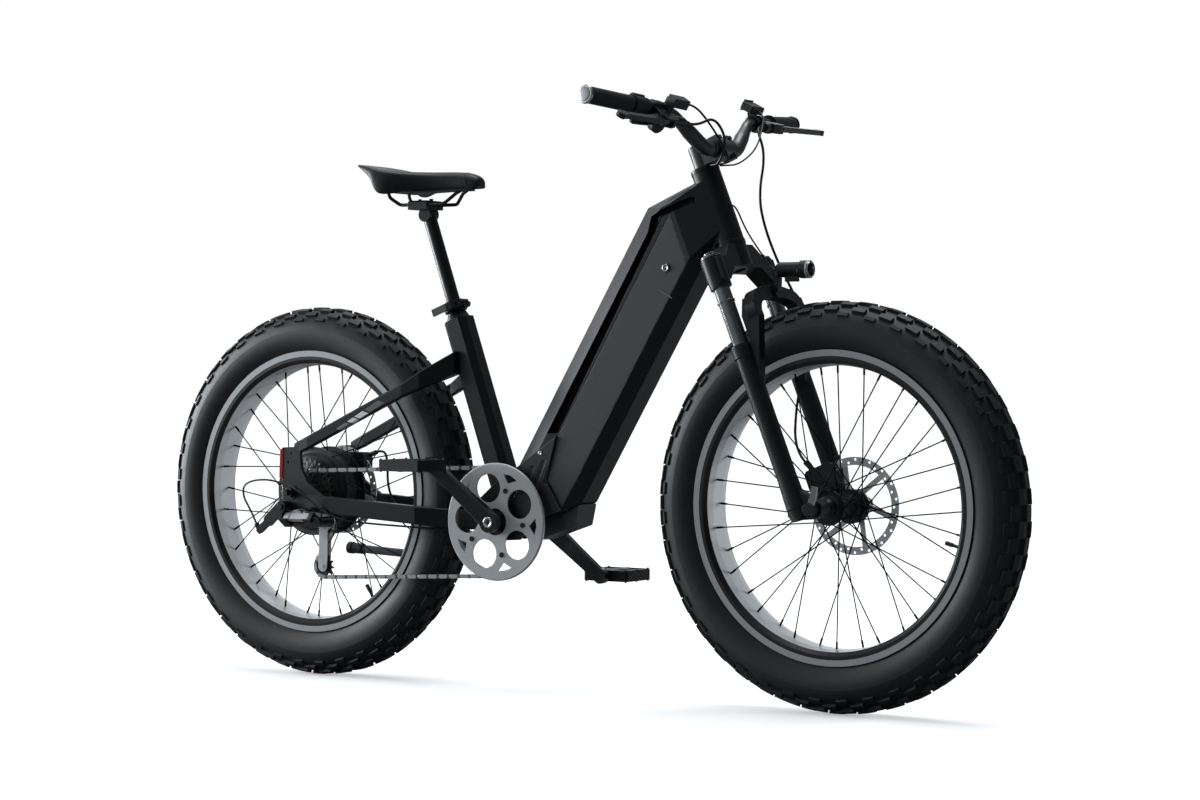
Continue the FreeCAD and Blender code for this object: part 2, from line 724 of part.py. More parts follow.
def panel(inset):
    i = inset
    a = down(PANEL_REAR - i, 494)

    def meet(n):
        best = None
        for step in range(4000):
            z = 700 + step * 0.06
            x, _ = down(n, z)
            p = (V(x, 0, z) - S_ORG).dot(S_FWD)
            if p > -76 - i:
                break
            best = (x, z)
        return best
    return [a, (-8 + i, 411), down(PANEL_FRONT + i, 358 + i), meet(PANEL_FRONT + i), meet(PANEL_REAR - i)]


def down_tube():
    hull = seat_tube_hull()
    solid = beam(DOWN_HALF, hull)
    thin = beam(DOWN_HALF - CHANNEL_DEPTH, hull)
    wide = channel(-80, 80)
    solid = solid.cut(wide).fuse(thin.common(wide))
    head = rod(HEAD_R, steer(HEAD_T0, 0), steer(HEAD_T1, 0))
    solid = solid.fuse(head)
    solid = solid.cut(rod(40, steer(HEAD_T0 - 60, 0), steer(HEAD_T0, 0)))
    solid = solid.cut(rod(CUP_R, steer(HEAD_T0 - 30, 0), steer(HEAD_T1 + 30, 0)))
    face = DOWN_HALF - PANEL_T
    for y0, y1 in ((face, 80), (-80, -face)):
        solid = solid.cut(prism_y(panel(0), y0, y1))
    solid = solid.cut(prism_y(bay(0), -80, 80))
    for ring in ([(298, -15), (298, 15), (262, 24), (250, 22), (250, -22), (262, -24)],
                 [(168, -40), (168, 40), (147, 22), (147, -22)]):
        t0 = 470 if ring[0][0] > 200 else 440
        start = V(0, 0, 0) + D_UP * t0
        hollow = prism(ring, lambda n, y: start + D_REAR * n + Y * y, D_UP * 380)
        solid = solid.cut(hollow)
    return solid.removeSplitter()


def bay(slack):
    s = slack
    return [down(231 - s, 500), (30 + s, 432 + s), down(174, 404 + s), down(174, 790 - s),
            down(231 - s, 815 - s)]


def battery_case():
    half = DOWN_HALF - PANEL_T
    return prism_y(bay(2.0), -half, half)


def battery_covers():
    out = []
    face = DOWN_HALF - PANEL_T
    for s in (-1, 1):
        lo, hi = sorted((s * face, s * DOWN_HALF))
        plate = prism_y(panel(0.8), lo, hi)
        lo, hi = sorted((s * (face + 1), s * (DOWN_HALF + 10)))
        lock = ycyl(8.5, lo, hi, 258, 812)
        plate = plate.cut(lock)
        out.append(plate)
        lo, hi = sorted((s * (face + 1), s * (DOWN_HALF + 1.5)))
        out.append(ycyl(8.5, lo, hi, 258, 812))
    return out


def junction_cover():
    hull = seat_tube_hull()
    out = []
    for s in (-1, 1):
        y0, y1 = DOWN_HALF, DOWN_HALF + 5.0
        path = [down(PANEL_REAR + 1, 495), (-78, 433), (-121, 408), (-164, 372), (-162, 318),
                (-130, 290), (-70, 294), (-22, 337), (26, 354), (-10, 410)]
        lo, hi = sorted((s * y0, s * y1))
        plate = prism_y(path, lo, hi)
        lo, hi = sorted((s * (y1 - 2.5), s * 60.0))
        for k in range(4):
            x = -96 + 26 * k
            low, high = 372 + 10 * k, 425 + 12 * k
            fin = [(x, low), (x + 11, low), (x + 36, high), (x + 25, high)]
            plate = plate.cut(prism_y(fin, lo, hi))
        out.append(plate.cut(ycyl(BB_R, -90, 90, BB_X, BB_Z)).cut(hull))
    return out


def lower_cover():
    path = [(-86, 309), (-66, 296), (-44, 293), (44, 323), (53, 364), (30, 352), (-20, 337)]
    body = prism_y(path, -30, 30)
    return body.cut(ycyl(BB_R + 6, -90, 90, BB_X, BB_Z))


def chainstay_half():
    inner = REAR_OLD / 2
    mid = inner + DROPOUT_T / 2
    tube = stay([(-122, -34, 327, 22, 40), (-223, -42, 330, 18, 36), (-297, -79, 336, 17, 36),
                 (-520, -90, 351, 15, 34), (-566, -mid, 357, DROPOUT_T, 30)], 2.0)
    path = [(-622, 464), (-580, 466), (-577, 424), (-560, 394), (-520, 369), (-520, 336), (-572, 343),
            (-598, 338), (-612, 333), (-622, 340), (-623, 352), (-624, 400)]
    plate = prism_y(path, -inner - DROPOUT_T, -inner)
    solid = fuse([tube, plate])
    cuts = [ycyl(6.0, -130, 0, REAR_X, AXLE_Z), ycyl(2.5, -130, 0, -600, 452),
            ycyl(2.5, -130, 0, -609, 434)]
    return solid.cut(Part.makeCompound(cuts))


STAND = V(-372.0, 93.0, 240.0)
STAND_AXIS = V(0, -0.9664, -0.2571)
STAND_PIN_R = 5.0


def chainstays():
    left = mirrored(chainstay_half())
    relief = prism_y([(-566, 322), (-486, 322), (-510, 345), (-548, 345)], -130, 0)
    right = chainstay_half().cut(relief)
    bridge = block(-196, -172, -34, 34, 316, 340)
    lug = prism_y([(-400, 327), (-350, 324), (-352, 234), (-362, 226), (-382, 226), (-390, 236)], 79, 88)
    out = STAND_AXIS * -1
    pin = fuse([rod(STAND_PIN_R, STAND - out * 12, STAND + out * 15),
                rod(8, STAND + out * 12.3, STAND + out * 15)])
    solid = fuse([right, left, bridge, lug, pin])
    return solid.cut(seat_tube_hull())


def seatstays():
    mid = REAR_OLD / 2 + DROPOUT_T / 2
    half = stay([(-594, -mid, 461, DROPOUT_T, 24), (-560, -90, 475, 14, 26), (-330, -81, 581, 14, 27),
                 (-292, -72, 601, 18, 34), (-238, -22, 636, 30, 44)], 3.0)
    plate = prism_y([(-622, 464), (-580, 466), (-577, 424), (-624, 400)], -120, -60)
    half = half.cut(plate)
    hull = seat_tube_hull()
    both = fuse([half, mirrored(half)])
    return both.cut(hull)


def tail_lights():
    y0, y1 = REAR_OLD / 2 - 1, REAR_OLD / 2 + DROPOUT_T + 1
    path = [(-622, 464), (-624, 400), (-632, 404), (-630, 458)]
    right = prism_y(path, -y1, -y0)
    return [right, mirrored(right)]


def headset():
    low = sleeve(HEAD_R + 1, STEERER_R + RUN, steer(HEAD_T0 - 8, 0), steer(HEAD_T0, 0))
    low_in = sleeve(CUP_R, STEERER_R + RUN, steer(HEAD_T0, 0), steer(HEAD_T0 + 14, 0))
    top = sleeve(HEAD_R + 0.5, STEERER_R + RUN, steer(HEAD_T1, 0), steer(HEAD_T1 + 7, 0))
    top_in = sleeve(CUP_R, STEERER_R + RUN, steer(HEAD_T1 - 14, 0), steer(HEAD_T1, 0))
    cartridge = ycyl(17, -BB_HALF, BB_HALF, BB_X, BB_Z)
    caps = [ycyl(21, BB_HALF, BB_HALF + 4, BB_X, BB_Z), ycyl(21, -BB_HALF - 4, -BB_HALF, BB_X, BB_Z)]
    bb = fuse([cartridge] + caps).cut(ycyl(9 + RUN, -90, 90, BB_X, BB_Z))
    return [fuse([low, low_in]), fuse([top, top_in])], [bb]


COLLAR_T0 = 434.0
COLLAR_T1 = 450.0
QR = (22.0, -18.5)


def seat_collar():
    ring = sleeve(NECK_R + 5, NECK_R, seat(COLLAR_T0, 0), seat(COLLAR_T1, 0))
    ears = prism([(28, -9), (12, -9), (12, 9), (28, 9)], lambda u, y: seat(COLLAR_T0, u, y),
                 T_UP * (COLLAR_T1 - COLLAR_T0))
    ears = ears.cut(rod(NECK_R, seat(400, 0), seat(470, 0)))
    slit = prism([(40, -1.5), (10, -1.5), (10, 1.5), (40, 1.5)], lambda u, y: seat(400, u, y), T_UP * 80)
    solid = fuse([ring, ears]).cut(slit)
    mid = (COLLAR_T0 + COLLAR_T1) / 2
    pin = rod(3, seat(mid, QR[0], QR[1] - 4), seat(mid, QR[0], 15))
    head = rod(6, seat(mid, QR[0], 9), seat(mid, QR[0], 15))
    tail = QR[1] - 4
    fork = prism([(QR[0] - 4, tail), (QR[0] + 4, tail), (QR[0] + 4, -9), (QR[0] - 4, -9)],
                 lambda u, y: seat(mid - 3, u, y), T_UP * 6)
    return fuse([solid, pin, head, fork])


def seat_lever():
    mid = (COLLAR_T0 + COLLAR_T1) / 2
    u, y = QR
    path = [(u + 1, y - 5.5), (u - 10, y - 12), (0, -33), (-36, -31), (-36, -25.5), (0, -28),
            (u - 9, y - 6), (u - 4.5, y)]
    blade = prism(path, lambda a, b: seat(mid - 7, a, b), T_UP * 14)
    head = rod(5.6, seat(mid - 7, u, y), seat(mid + 7, u, y))
    solid = fuse([blade, head])
    slot = rod(8.6, seat(mid - 3.4, u, y), seat(mid + 3.4, u, y))
    return solid.cut(slot)


# Seat
BASE_TOP = 980.0
BASE_T = 6.0
RAIL_Z = 949.0
RAIL_Y = 22.0
RAIL_R = 3.5
CLAMP_BACK = 8.0


def rail(s):
    high = BASE_TOP - 3
    pts = [V(-238, s * 9, high), V(-252, s * 11, high - 7), V(-275, s * RAIL_Y, RAIL_Z),
           V(-382, s * RAIL_Y, RAIL_Z), V(-401, s * 33, RAIL_Z + 15), V(-404, s * 34, high)]
    return cord(pts, RAIL_R, 14)


def seatpost():
    top = seat(POST_TOP_T, 0)
    foot = seat(POST_TOP_T - POST_LENGTH + 14, 0)
    post = sleeve(POST_R, POST_R - 2.4, foot, seat(POST_TOP_T - 8, 0))
    post = fuse([post, rod(POST_R, seat(POST_TOP_T - 12, 0), top)])
    head = ycyl(14.2, -15, 15, top.x, top.z - 2)
    x = top.x - CLAMP_BACK
    lower = block(x - 23, x + 23, -28, 28, RAIL_Z - 10, RAIL_Z)
    upper = block(x - 23, x + 23, -28, 28, RAIL_Z, RAIL_Z + 8)
    upper = upper.makeChamfer(3, [e for e in upper.Edges if e.BoundBox.ZMin > RAIL_Z + 7])
    rails = Part.makeCompound([rod(RAIL_R, V(-420, s * RAIL_Y, RAIL_Z), V(-240, s * RAIL_Y, RAIL_Z))
                               for s in (-1, 1)])
    bolts = [Part.makeCylinder(4, 5, V(x + k * 14, 0, RAIL_Z + 7), V(0, 0, 1)) for k in (-1, 1)]
    lower = fuse([post, head, lower]).cut(block(-500, -200, -60, 60, RAIL_Z, RAIL_Z + 60))
    return [lower.cut(rails), fuse([upper] + bolts).cut(rails)]


# Saddle sections from nose to tail: x, half width, lower edge, shoulder, crown
SADDLE = [(-198.5, 10, 979, 985, 988), (-203, 14, 978, 987, 992), (-213, 18, 977.5, 992, 1000),
          (-227, 21, 977.5, 997, 1006), (-252, 24, 977.5, 1000, 1010), (-288, 30, 978, 1003, 1013),
          (-325, 42, 976.5, 1006, 1015), (-345, 52, 973.5, 1008, 1016), (-365, 64, 969, 1010, 1017.5),
          (-384, 75, 964.8, 1013, 1019), (-404, 78, 967, 1017, 1021), (-413, 77.5, 981, 1019.5, 1022),
          (-420, 75, 998, 1022, 1023.5), (-436, 69, 1010, 1026, 1026.5), (-462, 60, 1026, 1030.5, 1031),
          (-474, 46, 1030, 1032, 1033)]


def base_ring():
    pts = [(x, w * 0.78) for x, w, low, edge, top in SADDLE[3:10]] + [(-409.0, 60.0)]
    return pts + [(x, -w) for x, w in reversed(pts)]


def saddle_pad():
    wires = []
    for x, w, low, edge, top in SADDLE:
        belly = low + (edge - low) * 0.4
        path = [(-w * 0.9, low), (w * 0.9, low), ((w, belly), (w * 0.92, edge)),
                ((0, top), (-w * 0.92, edge)), ((-w, belly), (-w * 0.9, low))]
        wires.append(outline(path, lambda y, z: V(x, y, z)))
    pad = Part.makeLoft(wires, True, True)
    return pad.cut(prism(base_ring(), lambda x, y: V(x, y, BASE_TOP - 60), V(0, 0, 60)))


def saddle_base():
    base = prism(base_ring(), lambda x, y: V(x, y, BASE_TOP - BASE_T), V(0, 0, BASE_T))
    rails = [rail(-1), rail(1)]
    for r in rails:
        base = base.cut(r)
    return [base] + rails


# Fork
def crown():
    steerer = rod(STEERER_R, steer(470, 0), steer(718, 0))
    path = [(-104, 440), (-104, 484), (-70, 486), (-44, HEAD_T0 - 9.5), (44, HEAD_T0 - 9.5), (70, 486),
            (104, 484), (104, 440), (76, 440), (48, 466), (-48, 466), (-76, 440)]
    yoke = prism(path, lambda y, t: steer(t, -17, y), S_FWD * 36)
    parts = [steerer, yoke, rod(27, steer(468, 0), steer(HEAD_T0 - 8 - GAP, 0))]
    for s in (-1, 1):
        parts.append(rod(SOCKET_R, steer(428, 0, s * LEG_Y), steer(487, 0, s * LEG_Y)))
    solid = fuse(parts)
    cuts = [rod(STANCHION_R, steer(400, 0, s * LEG_Y), steer(500, 0, s * LEG_Y)) for s in (-1, 1)]
    cuts.append(rod(STEERER_R - 2.6, steer(440, 0), steer(700, 0)))
    return solid.cut(Part.makeCompound(cuts))


def stanchions():
    out = []
    for s in (-1, 1):
        tube = sleeve(STANCHION_R, STANCHION_R - 2.2, steer(130, 0, s * LEG_Y), steer(487, 0, s * LEG_Y))
        cap = fuse([rod(19, steer(487, 0, s * LEG_Y), steer(491, 0, s * LEG_Y)),
                    rod(11, steer(491, 0, s * LEG_Y), steer(497, 0, s * LEG_Y))])
        ring = sleeve(STANCHION_R + 1.6, STANCHION_R,
                      steer(RING_T, 0, s * LEG_Y), steer(RING_T + 3.5, 0, s * LEG_Y))
        out += [tube, cap, ring]
    return out


def lowers():
    parts = []
    for s in (-1, 1):
        y = s * LEG_Y
        parts.append(rod(LEG_R, steer(-20, 0, y), steer(LEG_TOP_T - 18, 0, y)))
        parts.append(rod(LEG_R + 2.2, steer(LEG_TOP_T - 24, 0, y), steer(LEG_TOP_T - 4, 0, y)))
        parts.append(rod(LEG_R + 0.6, steer(LEG_TOP_T - 6, 0, y), steer(LEG_TOP_T, 0, y)))
        parts.append(Part.makeCone(LEG_R, LEG_R + 2.0, 60, steer(60, 0, y), S_UP * -1))
        lo, hi = sorted((s * FRONT_OLD / 2, s * 98))
        parts.append(ycyl(17, lo, hi, FRONT_X, AXLE_Z))
        lug = [(556, 352), (600, 356), (616, 366), (616, 384), (603, 391), (560, 412), (544, 420), (548, 360)]
        parts.append(prism_y(lug, s * LEG_Y - 14, s * LEG_Y + 8) if s > 0 else
                     prism_y(lug, s * LEG_Y - 8, s * LEG_Y + 14))
        side = [(-8, 262), (-8, 300), (4, 322), (34, 392), (54, 392), (56, 352), (24, 268), (14, 240)]
        lo = 73 if s > 0 else -93
        parts.append(prism(side, lambda p, t: steer(t, p, lo), Y * 20))
    bow = [(-93, 352), ((-86, 392), (-52, 408)), ((0, 414), (52, 408)), ((86, 392), (93, 352)), (73, 352),
           ((66, 374), (44, 386)), ((0, 392), (-44, 386)), ((-66, 374), (-73, 352))]
    parts.append(prism(bow, lambda y, t: steer(t, 34, y), S_FWD * 21))
    solid = fuse(parts)
    cuts = []
    for s in (-1, 1):
        cuts.append(rod(STANCHION_R + 0.08, steer(36, 0, s * LEG_Y), steer(420, 0, s * LEG_Y)))
        cuts.append(rod(SOCKET_R + 1.5, steer(LEG_TOP_T + 1, 0, s * LEG_Y), steer(420, 0, s * LEG_Y)))
    cuts.append(ycyl(THRU_R + RUN, -130, 130, FRONT_X, AXLE_Z))
    return solid.cut(Part.makeCompound(cuts))


def front_axle():
    axle = ycyl(THRU_R, -101, 97, FRONT_X, AXLE_Z)
    boss = ycyl(12, -118, -98 - GAP, FRONT_X, AXLE_Z)
    lever = [(594, 374), (607, 374), (615, 396), (617, 414), (607, 416), (604, 398)]
    cap = ycyl(12, 98 + GAP, 103, FRONT_X, AXLE_Z)
    return fuse([axle, boss, prism_y(lever, -118, -111.6), ycyl(THRU_R, 96, 102, FRONT_X, AXLE_Z), cap])


def disc_slot(y, x):
    r = DISC_R + 5
    return turned([(0, y - 2), (r, y - 2), (r, y + 2), (0, y + 2)], x, AXLE_Z)


FRONT_BANJO = V(492.0, 66.0, 452.0)
FRONT_BANJO_DIR = V(-0.747, 0, 0.664).normalize()
REAR_BANJO = V(-518.0, 76.0, 452.0)
REAR_BANJO_DIR = V(0.953, 0, 0.303).normalize()


def front_caliper():
    body = block(505, 566, 47, 72, 398, 446)
    body = body.makeChamfer(6, [e for e in body.Edges if abs(e.tangentAt(0).y) > 0.9])
    body.rotate(V(535, 0, 422), Y, -22)
    leg = rod(LEG_R + 2.01, steer(-40, 0, LEG_Y), steer(300, 0, LEG_Y))
    slot = disc_slot(FRONT_DISC_Y, FRONT_X)
    return fuse([body, rod(5, FRONT_BANJO - FRONT_BANJO_DIR * 30, FRONT_BANJO)]).cut(leg).cut(slot)


def rear_caliper():
    body = block(-592, -534, 54, 84, 410, 452)
    body = body.makeChamfer(6, [e for e in body.Edges if abs(e.tangentAt(0).y) > 0.9])
    foot = block(-594, -576, 70, REAR_OLD / 2, 424, 448)
    slot = disc_slot(REAR_DISC_Y, REAR_X)
    return fuse([body, foot, rod(5, REAR_BANJO - REAR_BANJO_DIR * 23, REAR_BANJO)]).cut(slot)


LAMP = V(512.0, 0.0, 806.0)


def lamp_bracket():
    foot = prism([(55, 388), (60, 388), (60, 412), (55, 412)], lambda p, t: steer(t, p, -9), Y * 18)
    arm = prism([(58, 396), (64, 398), (74, 420), (72, 428), (60, 412)], lambda p, t: steer(t, p, -7), Y * 14)
    return fuse([foot, arm])


def headlight():
    x0, x1 = 470.0, 538.0
    path = [(0, x0), (11, x0), (14, x0 + 5), (14, x1 - 22), (16.5, x1 - 18), (16.5, x1), (14.5, x1),
            (14.5, x1 - 4), (0, x1 - 4)]
    face = Part.Face(outline(path, lambda r, x: V(x, 0, LAMP.z + r)))
    body = face.revolve(V(0, 0, LAMP.z), V(1, 0, 0), 360)
    foot = block(488, 512, -6, 6, LAMP.z - 22, LAMP.z - 10)
    body = fuse([body, foot]).cut(lamp_bracket())
    lens = Part.makeCylinder(14.5, 2.5, V(x1 - 4, 0, LAMP.z), V(1, 0, 0))
    return [body, lens, lamp_bracket()]


# Cockpit
CLAMP = steer(691, 44)
BEND_1 = V(CLAMP.x - 1, -58, CLAMP.z)
BEND_2 = V(325.0, -138.0, 1090.0)
GRIP_END = V(290.0, -BAR_HALF, 1107.0)


def stem():
    body = [rod(18, steer(HEAD_T1 + 7 + GAP, 0), steer(712, 0)),
            prism([(-8, 676), (38, 672), (38, 708), (-8, 710)], lambda p, t: steer(t, p, -15), Y * 30),
            ycyl(22, -26, 26, CLAMP.x, CLAMP.z)]
    solid = fuse(body).cut(rod(STEERER_R, steer(600, 0), steer(718, 0)))
    bar = ycyl(BAR_CLAMP_R, -60, 60, CLAMP.x, CLAMP.z)
    split = prism([(44.6, 640), (90, 640), (90, 740), (44.6, 740)], lambda p, t: steer(t, p, -60), Y * 120)
    face = ycyl(22, -26, 26, CLAMP.x, CLAMP.z).common(split)
    ears = [prism([(38, t0), (60, t0), (60, t0 + 12), (38, t0 + 12)], lambda p, t: steer(t, p, y0), Y * 14)
            for t0 in (668, 702) for y0 in (-25, 11)]
    front = fuse([face] + [e.common(split) for e in ears]).cut(bar)
    back = fuse([solid] + ears).cut(split).cut(bar)
    cap = fuse([rod(18, steer(712, 0), steer(716, 0)), rod(6, steer(716, 0), steer(720, 0))])
    cap = cap.cut(rod(STEERER_R, steer(600, 0), steer(718, 0)))
    bolts = [rod(4.2, steer(t0 + 6, 60, y0 + 7), steer(t0 + 6, 64, y0 + 7))
             for t0 in (668, 702) for y0 in (-25, 11)]
    return [back, front, cap] + bolts


def handlebar():
    right = cord([V(CLAMP.x, 0, CLAMP.z), BEND_1, BEND_2, GRIP_END + (BEND_2 - GRIP_END) * 0.004], BAR_R, 55)
    mid = ycyl(BAR_CLAMP_R, -36, 36, CLAMP.x, CLAMP.z)
    rise = BEND_2 - BEND_1
    thick = cord([V(CLAMP.x, 0, CLAMP.z), BEND_1, BEND_1 + rise * 0.45], BAR_THICK_R, 55)
    taper = Part.makeCone(BAR_THICK_R, BAR_R + 0.1, rise.Length * 0.3, BEND_1 + rise * 0.449, rise)
    right = fuse([right, thick, taper])
    core = cord([V(CLAMP.x, 0, CLAMP.z), BEND_1, BEND_2, GRIP_END], BAR_R - 2.4, 55)
    return fuse([right, mirrored(right), mid]).cut(core).cut(mirrored(core))


GRIP_DIR = (GRIP_END - BEND_2).normalize()


def on_bar(y):
    f = (abs(y) - abs(BEND_2.y)) / (abs(GRIP_END.y) - abs(BEND_2.y))
    p = BEND_2 + (GRIP_END - BEND_2) * f
    return p


def grip(y0):
    a, b = on_bar(y0), on_bar(BAR_HALF - 5)
    body = rod(15.5, a, b)
    flange = rod(18, a, a + GRIP_DIR * 4)
    end = on_bar(BAR_HALF - 5)
    bar = rod(BAR_R, on_bar(200), end)
    cap = fuse([rod(17, end, end + GRIP_DIR * 3), rod(15.5, end + GRIP_DIR * 3, end + GRIP_DIR * 5)])
    cap = cap.cut(handlebar())
    return [fuse([body, flange]).cut(bar), cap]


def grips():
    left = [mirrored(s) for s in grip(240)]
    return grip(246) + left


THROTTLE = (212.0, 245.6)


def throttle():
    a, b = on_bar(THROTTLE[0]), on_bar(THROTTLE[1])
    body = rod(17, a, b)
    ridge = rod(6, a + GRIP_DIR * 2, b - GRIP_DIR * 3)
    ridge.translate(V(-2, 0, 16))
    return fuse([body, ridge]).cut(rod(BAR_R + 0.08, on_bar(150), on_bar(300)))


def bar_frame(y, ahead):
    p = on_bar(y)
    g = V(GRIP_DIR)
    w = V(math.cos(math.radians(ahead)), 0, math.sin(math.radians(ahead)))
    w = (w - g * w.dot(g)).normalize()
    n = g.cross(w)
    return p, g, w, n


LEVER_Y = 186.0
LEVER_PIVOT = (4.0, 42.0)
LEVER_DROP = {-1: -35.0, 1: -14.0}
LEVER_REACH = {-1: 54.0, 1: 74.0}


def lever_bracket(side):
    ring = Part.makeCylinder(17, 18, V(-9, 0, 0), V(1, 0, 0))
    arm = prism([(-12, 8), (10, 8), (16, 34), (14, 50), (-6, 52), (-24, 44), (-24, 26)],
                lambda a, b: V(a, b, -9), V(0, 0, 18))
    master = Part.makeCylinder(9, 36, V(-50, 33, 0), V(1, 0, 0))
    boot = Part.makeCylinder(4.5, 16, V(-66, 33, 0), V(1, 0, 0))
    solid = fuse([ring, arm, master, boot])
    slot = block(-8, 40, 28, 80, -5.6, 5.6)
    solid = solid.cut(slot)
    pin = Part.makeCylinder(PIN_R, 18, V(LEVER_PIVOT[0], LEVER_PIVOT[1], -9), V(0, 0, 1))
    solid = fuse([solid, pin]).cut(Part.makeCylinder(BAR_R, 60, V(-30, 0, 0), V(1, 0, 0)))
    p, g, w, n = bar_frame(LEVER_Y, LEVER_DROP[side])
    solid = placed(solid, p, g, w, n)
    return mirrored(solid) if side > 0 else solid


def brake_lever(side):
    r = LEVER_REACH[side]
    x, y = LEVER_PIVOT
    path = [(x - 8, y - 5), (x + 12, y - 7), (60, (y + r) / 2 - 4), (120, r - 4), (134, r - 6),
            ((146, r - 3), (147, r + 4)), ((144, r + 10), (134, r + 9)), (120, r + 5), (60, (y + r) / 2 + 6),
            (x + 10, y + 8), (x - 8, y + 5)]
    blade = prism(path, lambda a, b: V(a, b, -5), V(0, 0, 10))
    blade = blade.cut(Part.makeCylinder(PIN_R + RUN, 40, V(x, y, -20), V(0, 0, 1)))
    p, g, w, n = bar_frame(LEVER_Y, LEVER_DROP[side])
    solid = placed(blade, p, g, w, n)
    return mirrored(solid) if side > 0 else solid


SHIFT_Y = 163.0
SHIFT_PIVOT = (-2.0, 26.0)
SHIFT_OUT = (-38.0, -28.0, 16.0)


def shifter_frame():
    return bar_frame(SHIFT_Y, -122.0)


def shifter_body():
    ring = Part.makeCylinder(16, 13, V(-7, 0, 0), V(1, 0, 0))
    pod = Part.makeCylinder(16.4, 14, V(SHIFT_PIVOT[0], SHIFT_PIVOT[1], -7), V(0, 0, 1))
    window = fuse([block(-30, 10, -37, -19, 6, 26), block(-7, 6, -30, -8, 0, 16)])
    pin = Part.makeCylinder(4, 24, V(SHIFT_PIVOT[0], SHIFT_PIVOT[1], -16), V(0, 0, 1))
    outlet = Part.makeCylinder(4, 14, V(SHIFT_OUT[0], SHIFT_OUT[1], SHIFT_OUT[2]), V(1, 0, 0))
    solid = fuse([ring, pod, window, pin, outlet])
    solid = solid.cut(Part.makeCylinder(BAR_R, 80, V(-40, 0, 0), V(1, 0, 0)))
    return placed(solid, *shifter_frame())


def shift_lever():
    x, y = SHIFT_PIVOT
    path = [(x - 8, y - 6), (x + 10, y - 8), (46, y + 2), ((56, y + 7), (50, y + 13)), (30, y + 12),
            (x + 2, y + 9), (x - 8, y + 6)]
    blade = prism(path, lambda a, b: V(a, b, -13), V(0, 0, 5.5))
    blade = blade.cut(Part.makeCylinder(4 + RUN, 40, V(x, y, -20), V(0, 0, 1)))
    return placed(blade, *shifter_frame())


DISPLAY_Y = 160.0
DISPLAY_TILT = 28.0


def display_centre():
    return on_bar(DISPLAY_Y) + V(-4, -7, 31)


def display_ahead():
    a = math.radians(DISPLAY_TILT)
    return V(math.cos(a), 0, -math.sin(a))


def display():
    at = on_bar(DISPLAY_Y)
    ring = rod(15, at - GRIP_DIR * 6, at + GRIP_DIR * 6)
    arm = block(at.x - 8, at.x + 8, at.y - 5, at.y + 5, at.z + 4, at.z + 27)
    ring = fuse([ring, arm]).cut(rod(BAR_R, at - GRIP_DIR * 20, at + GRIP_DIR * 20))
    box = block(-14, 14, -22, 22, -8, 8)
    box = box.makeFillet(3, box.Edges)
    box.rotate(V(0, 0, 0), Y, DISPLAY_TILT)
    box.translate(display_centre())
    return mirrored(fuse([ring, box]))


# Stand, cords
def kickstand():
    out = STAND_AXIS * -1
    base = STAND + out * 5.5
    d = (V(-592, 98, 252) - base).normalize()
    leg = rod(8.5, base + d * 10.5, base + d * 196)
    eye = rod(13, STAND - out * 1, STAND + out * 12)
    foot = fuse([rod(11, base + d * 196, base + d * 226), rod(12.5, base + d * 222, base + d * 233)])
    body = fuse([leg, eye]).cut(rod(STAND_PIN_R + RUN, STAND - out * 30, STAND + out * 30))
    return [body, foot]


def entry(degrees):
    a = math.radians(degrees)
    r = HEAD_R + 0.5
    return steer(HEAD_T1 + 3.5, r * math.cos(a), r * math.sin(a))


def entry_path(degrees, away, drop):
    a = math.radians(degrees)
    e = entry(degrees)
    d = S_FWD * math.cos(a) + Y * math.sin(a)
    return [e + d * away - S_UP * drop, e + d * 12 - S_UP * drop * 0.34, e + d * 1.1]


def boot_end(side):
    p, g, w, n = bar_frame(LEVER_Y, LEVER_DROP[side])
    a = p - g * 66.3 + w * 33
    if side > 0:
        return V(a.x, -a.y, a.z), V(g.x, -g.y, g.z)
    return a, g


def cables():
    a, g = boot_end(-1)
    brake = [a, a - g * 25, V(378, -74, 1086), V(390, -48, 1044)] + entry_path(-36, 38, 11)
    p, g, w, n = shifter_frame()
    b = p + g * (SHIFT_OUT[0] - 0.3) + w * SHIFT_OUT[1] + n * SHIFT_OUT[2]
    gear_line = [b, b - g * 18, V(364, -82, 1084), V(380, -46, 1036)] + entry_path(-12, 36, 11)
    d = display_ahead()
    c = display_centre() + d * 14.3
    c = V(c.x, -c.y, c.z)
    screen = [c, c + d * 14, V(372, 112, 1080), V(388, 62, 1034)] + entry_path(24, 36, 11)
    lamp = [steer(585, HEAD_R + 0.3), steer(585, HEAD_R + 9), V(402, 0, 880), V(434, 0, 838),
            V(458, 0, LAMP.z), V(469.7, 0, LAMP.z)]
    return [cord(brake, 2.5, 60), cord(gear_line, 2.0, 50), cord(screen, 1.6, 45), cord(lamp, 1.5, 60)]


def front_hose():
    m, g = boot_end(1)
    b = FRONT_BANJO + FRONT_BANJO_DIR * 1.0
    pts = [m, m - g * 22, V(390, 92, 1028), V(381, 82, 950), V(386, 96, 890), V(408, 114, 818),
           V(446, 118, 752), V(463, 118, 690), V(458, 116, 620), V(450, 104, 548),
           b + FRONT_BANJO_DIR * 34 + V(0, 6, 0), b]
    return cord(pts, 2.5, 90)


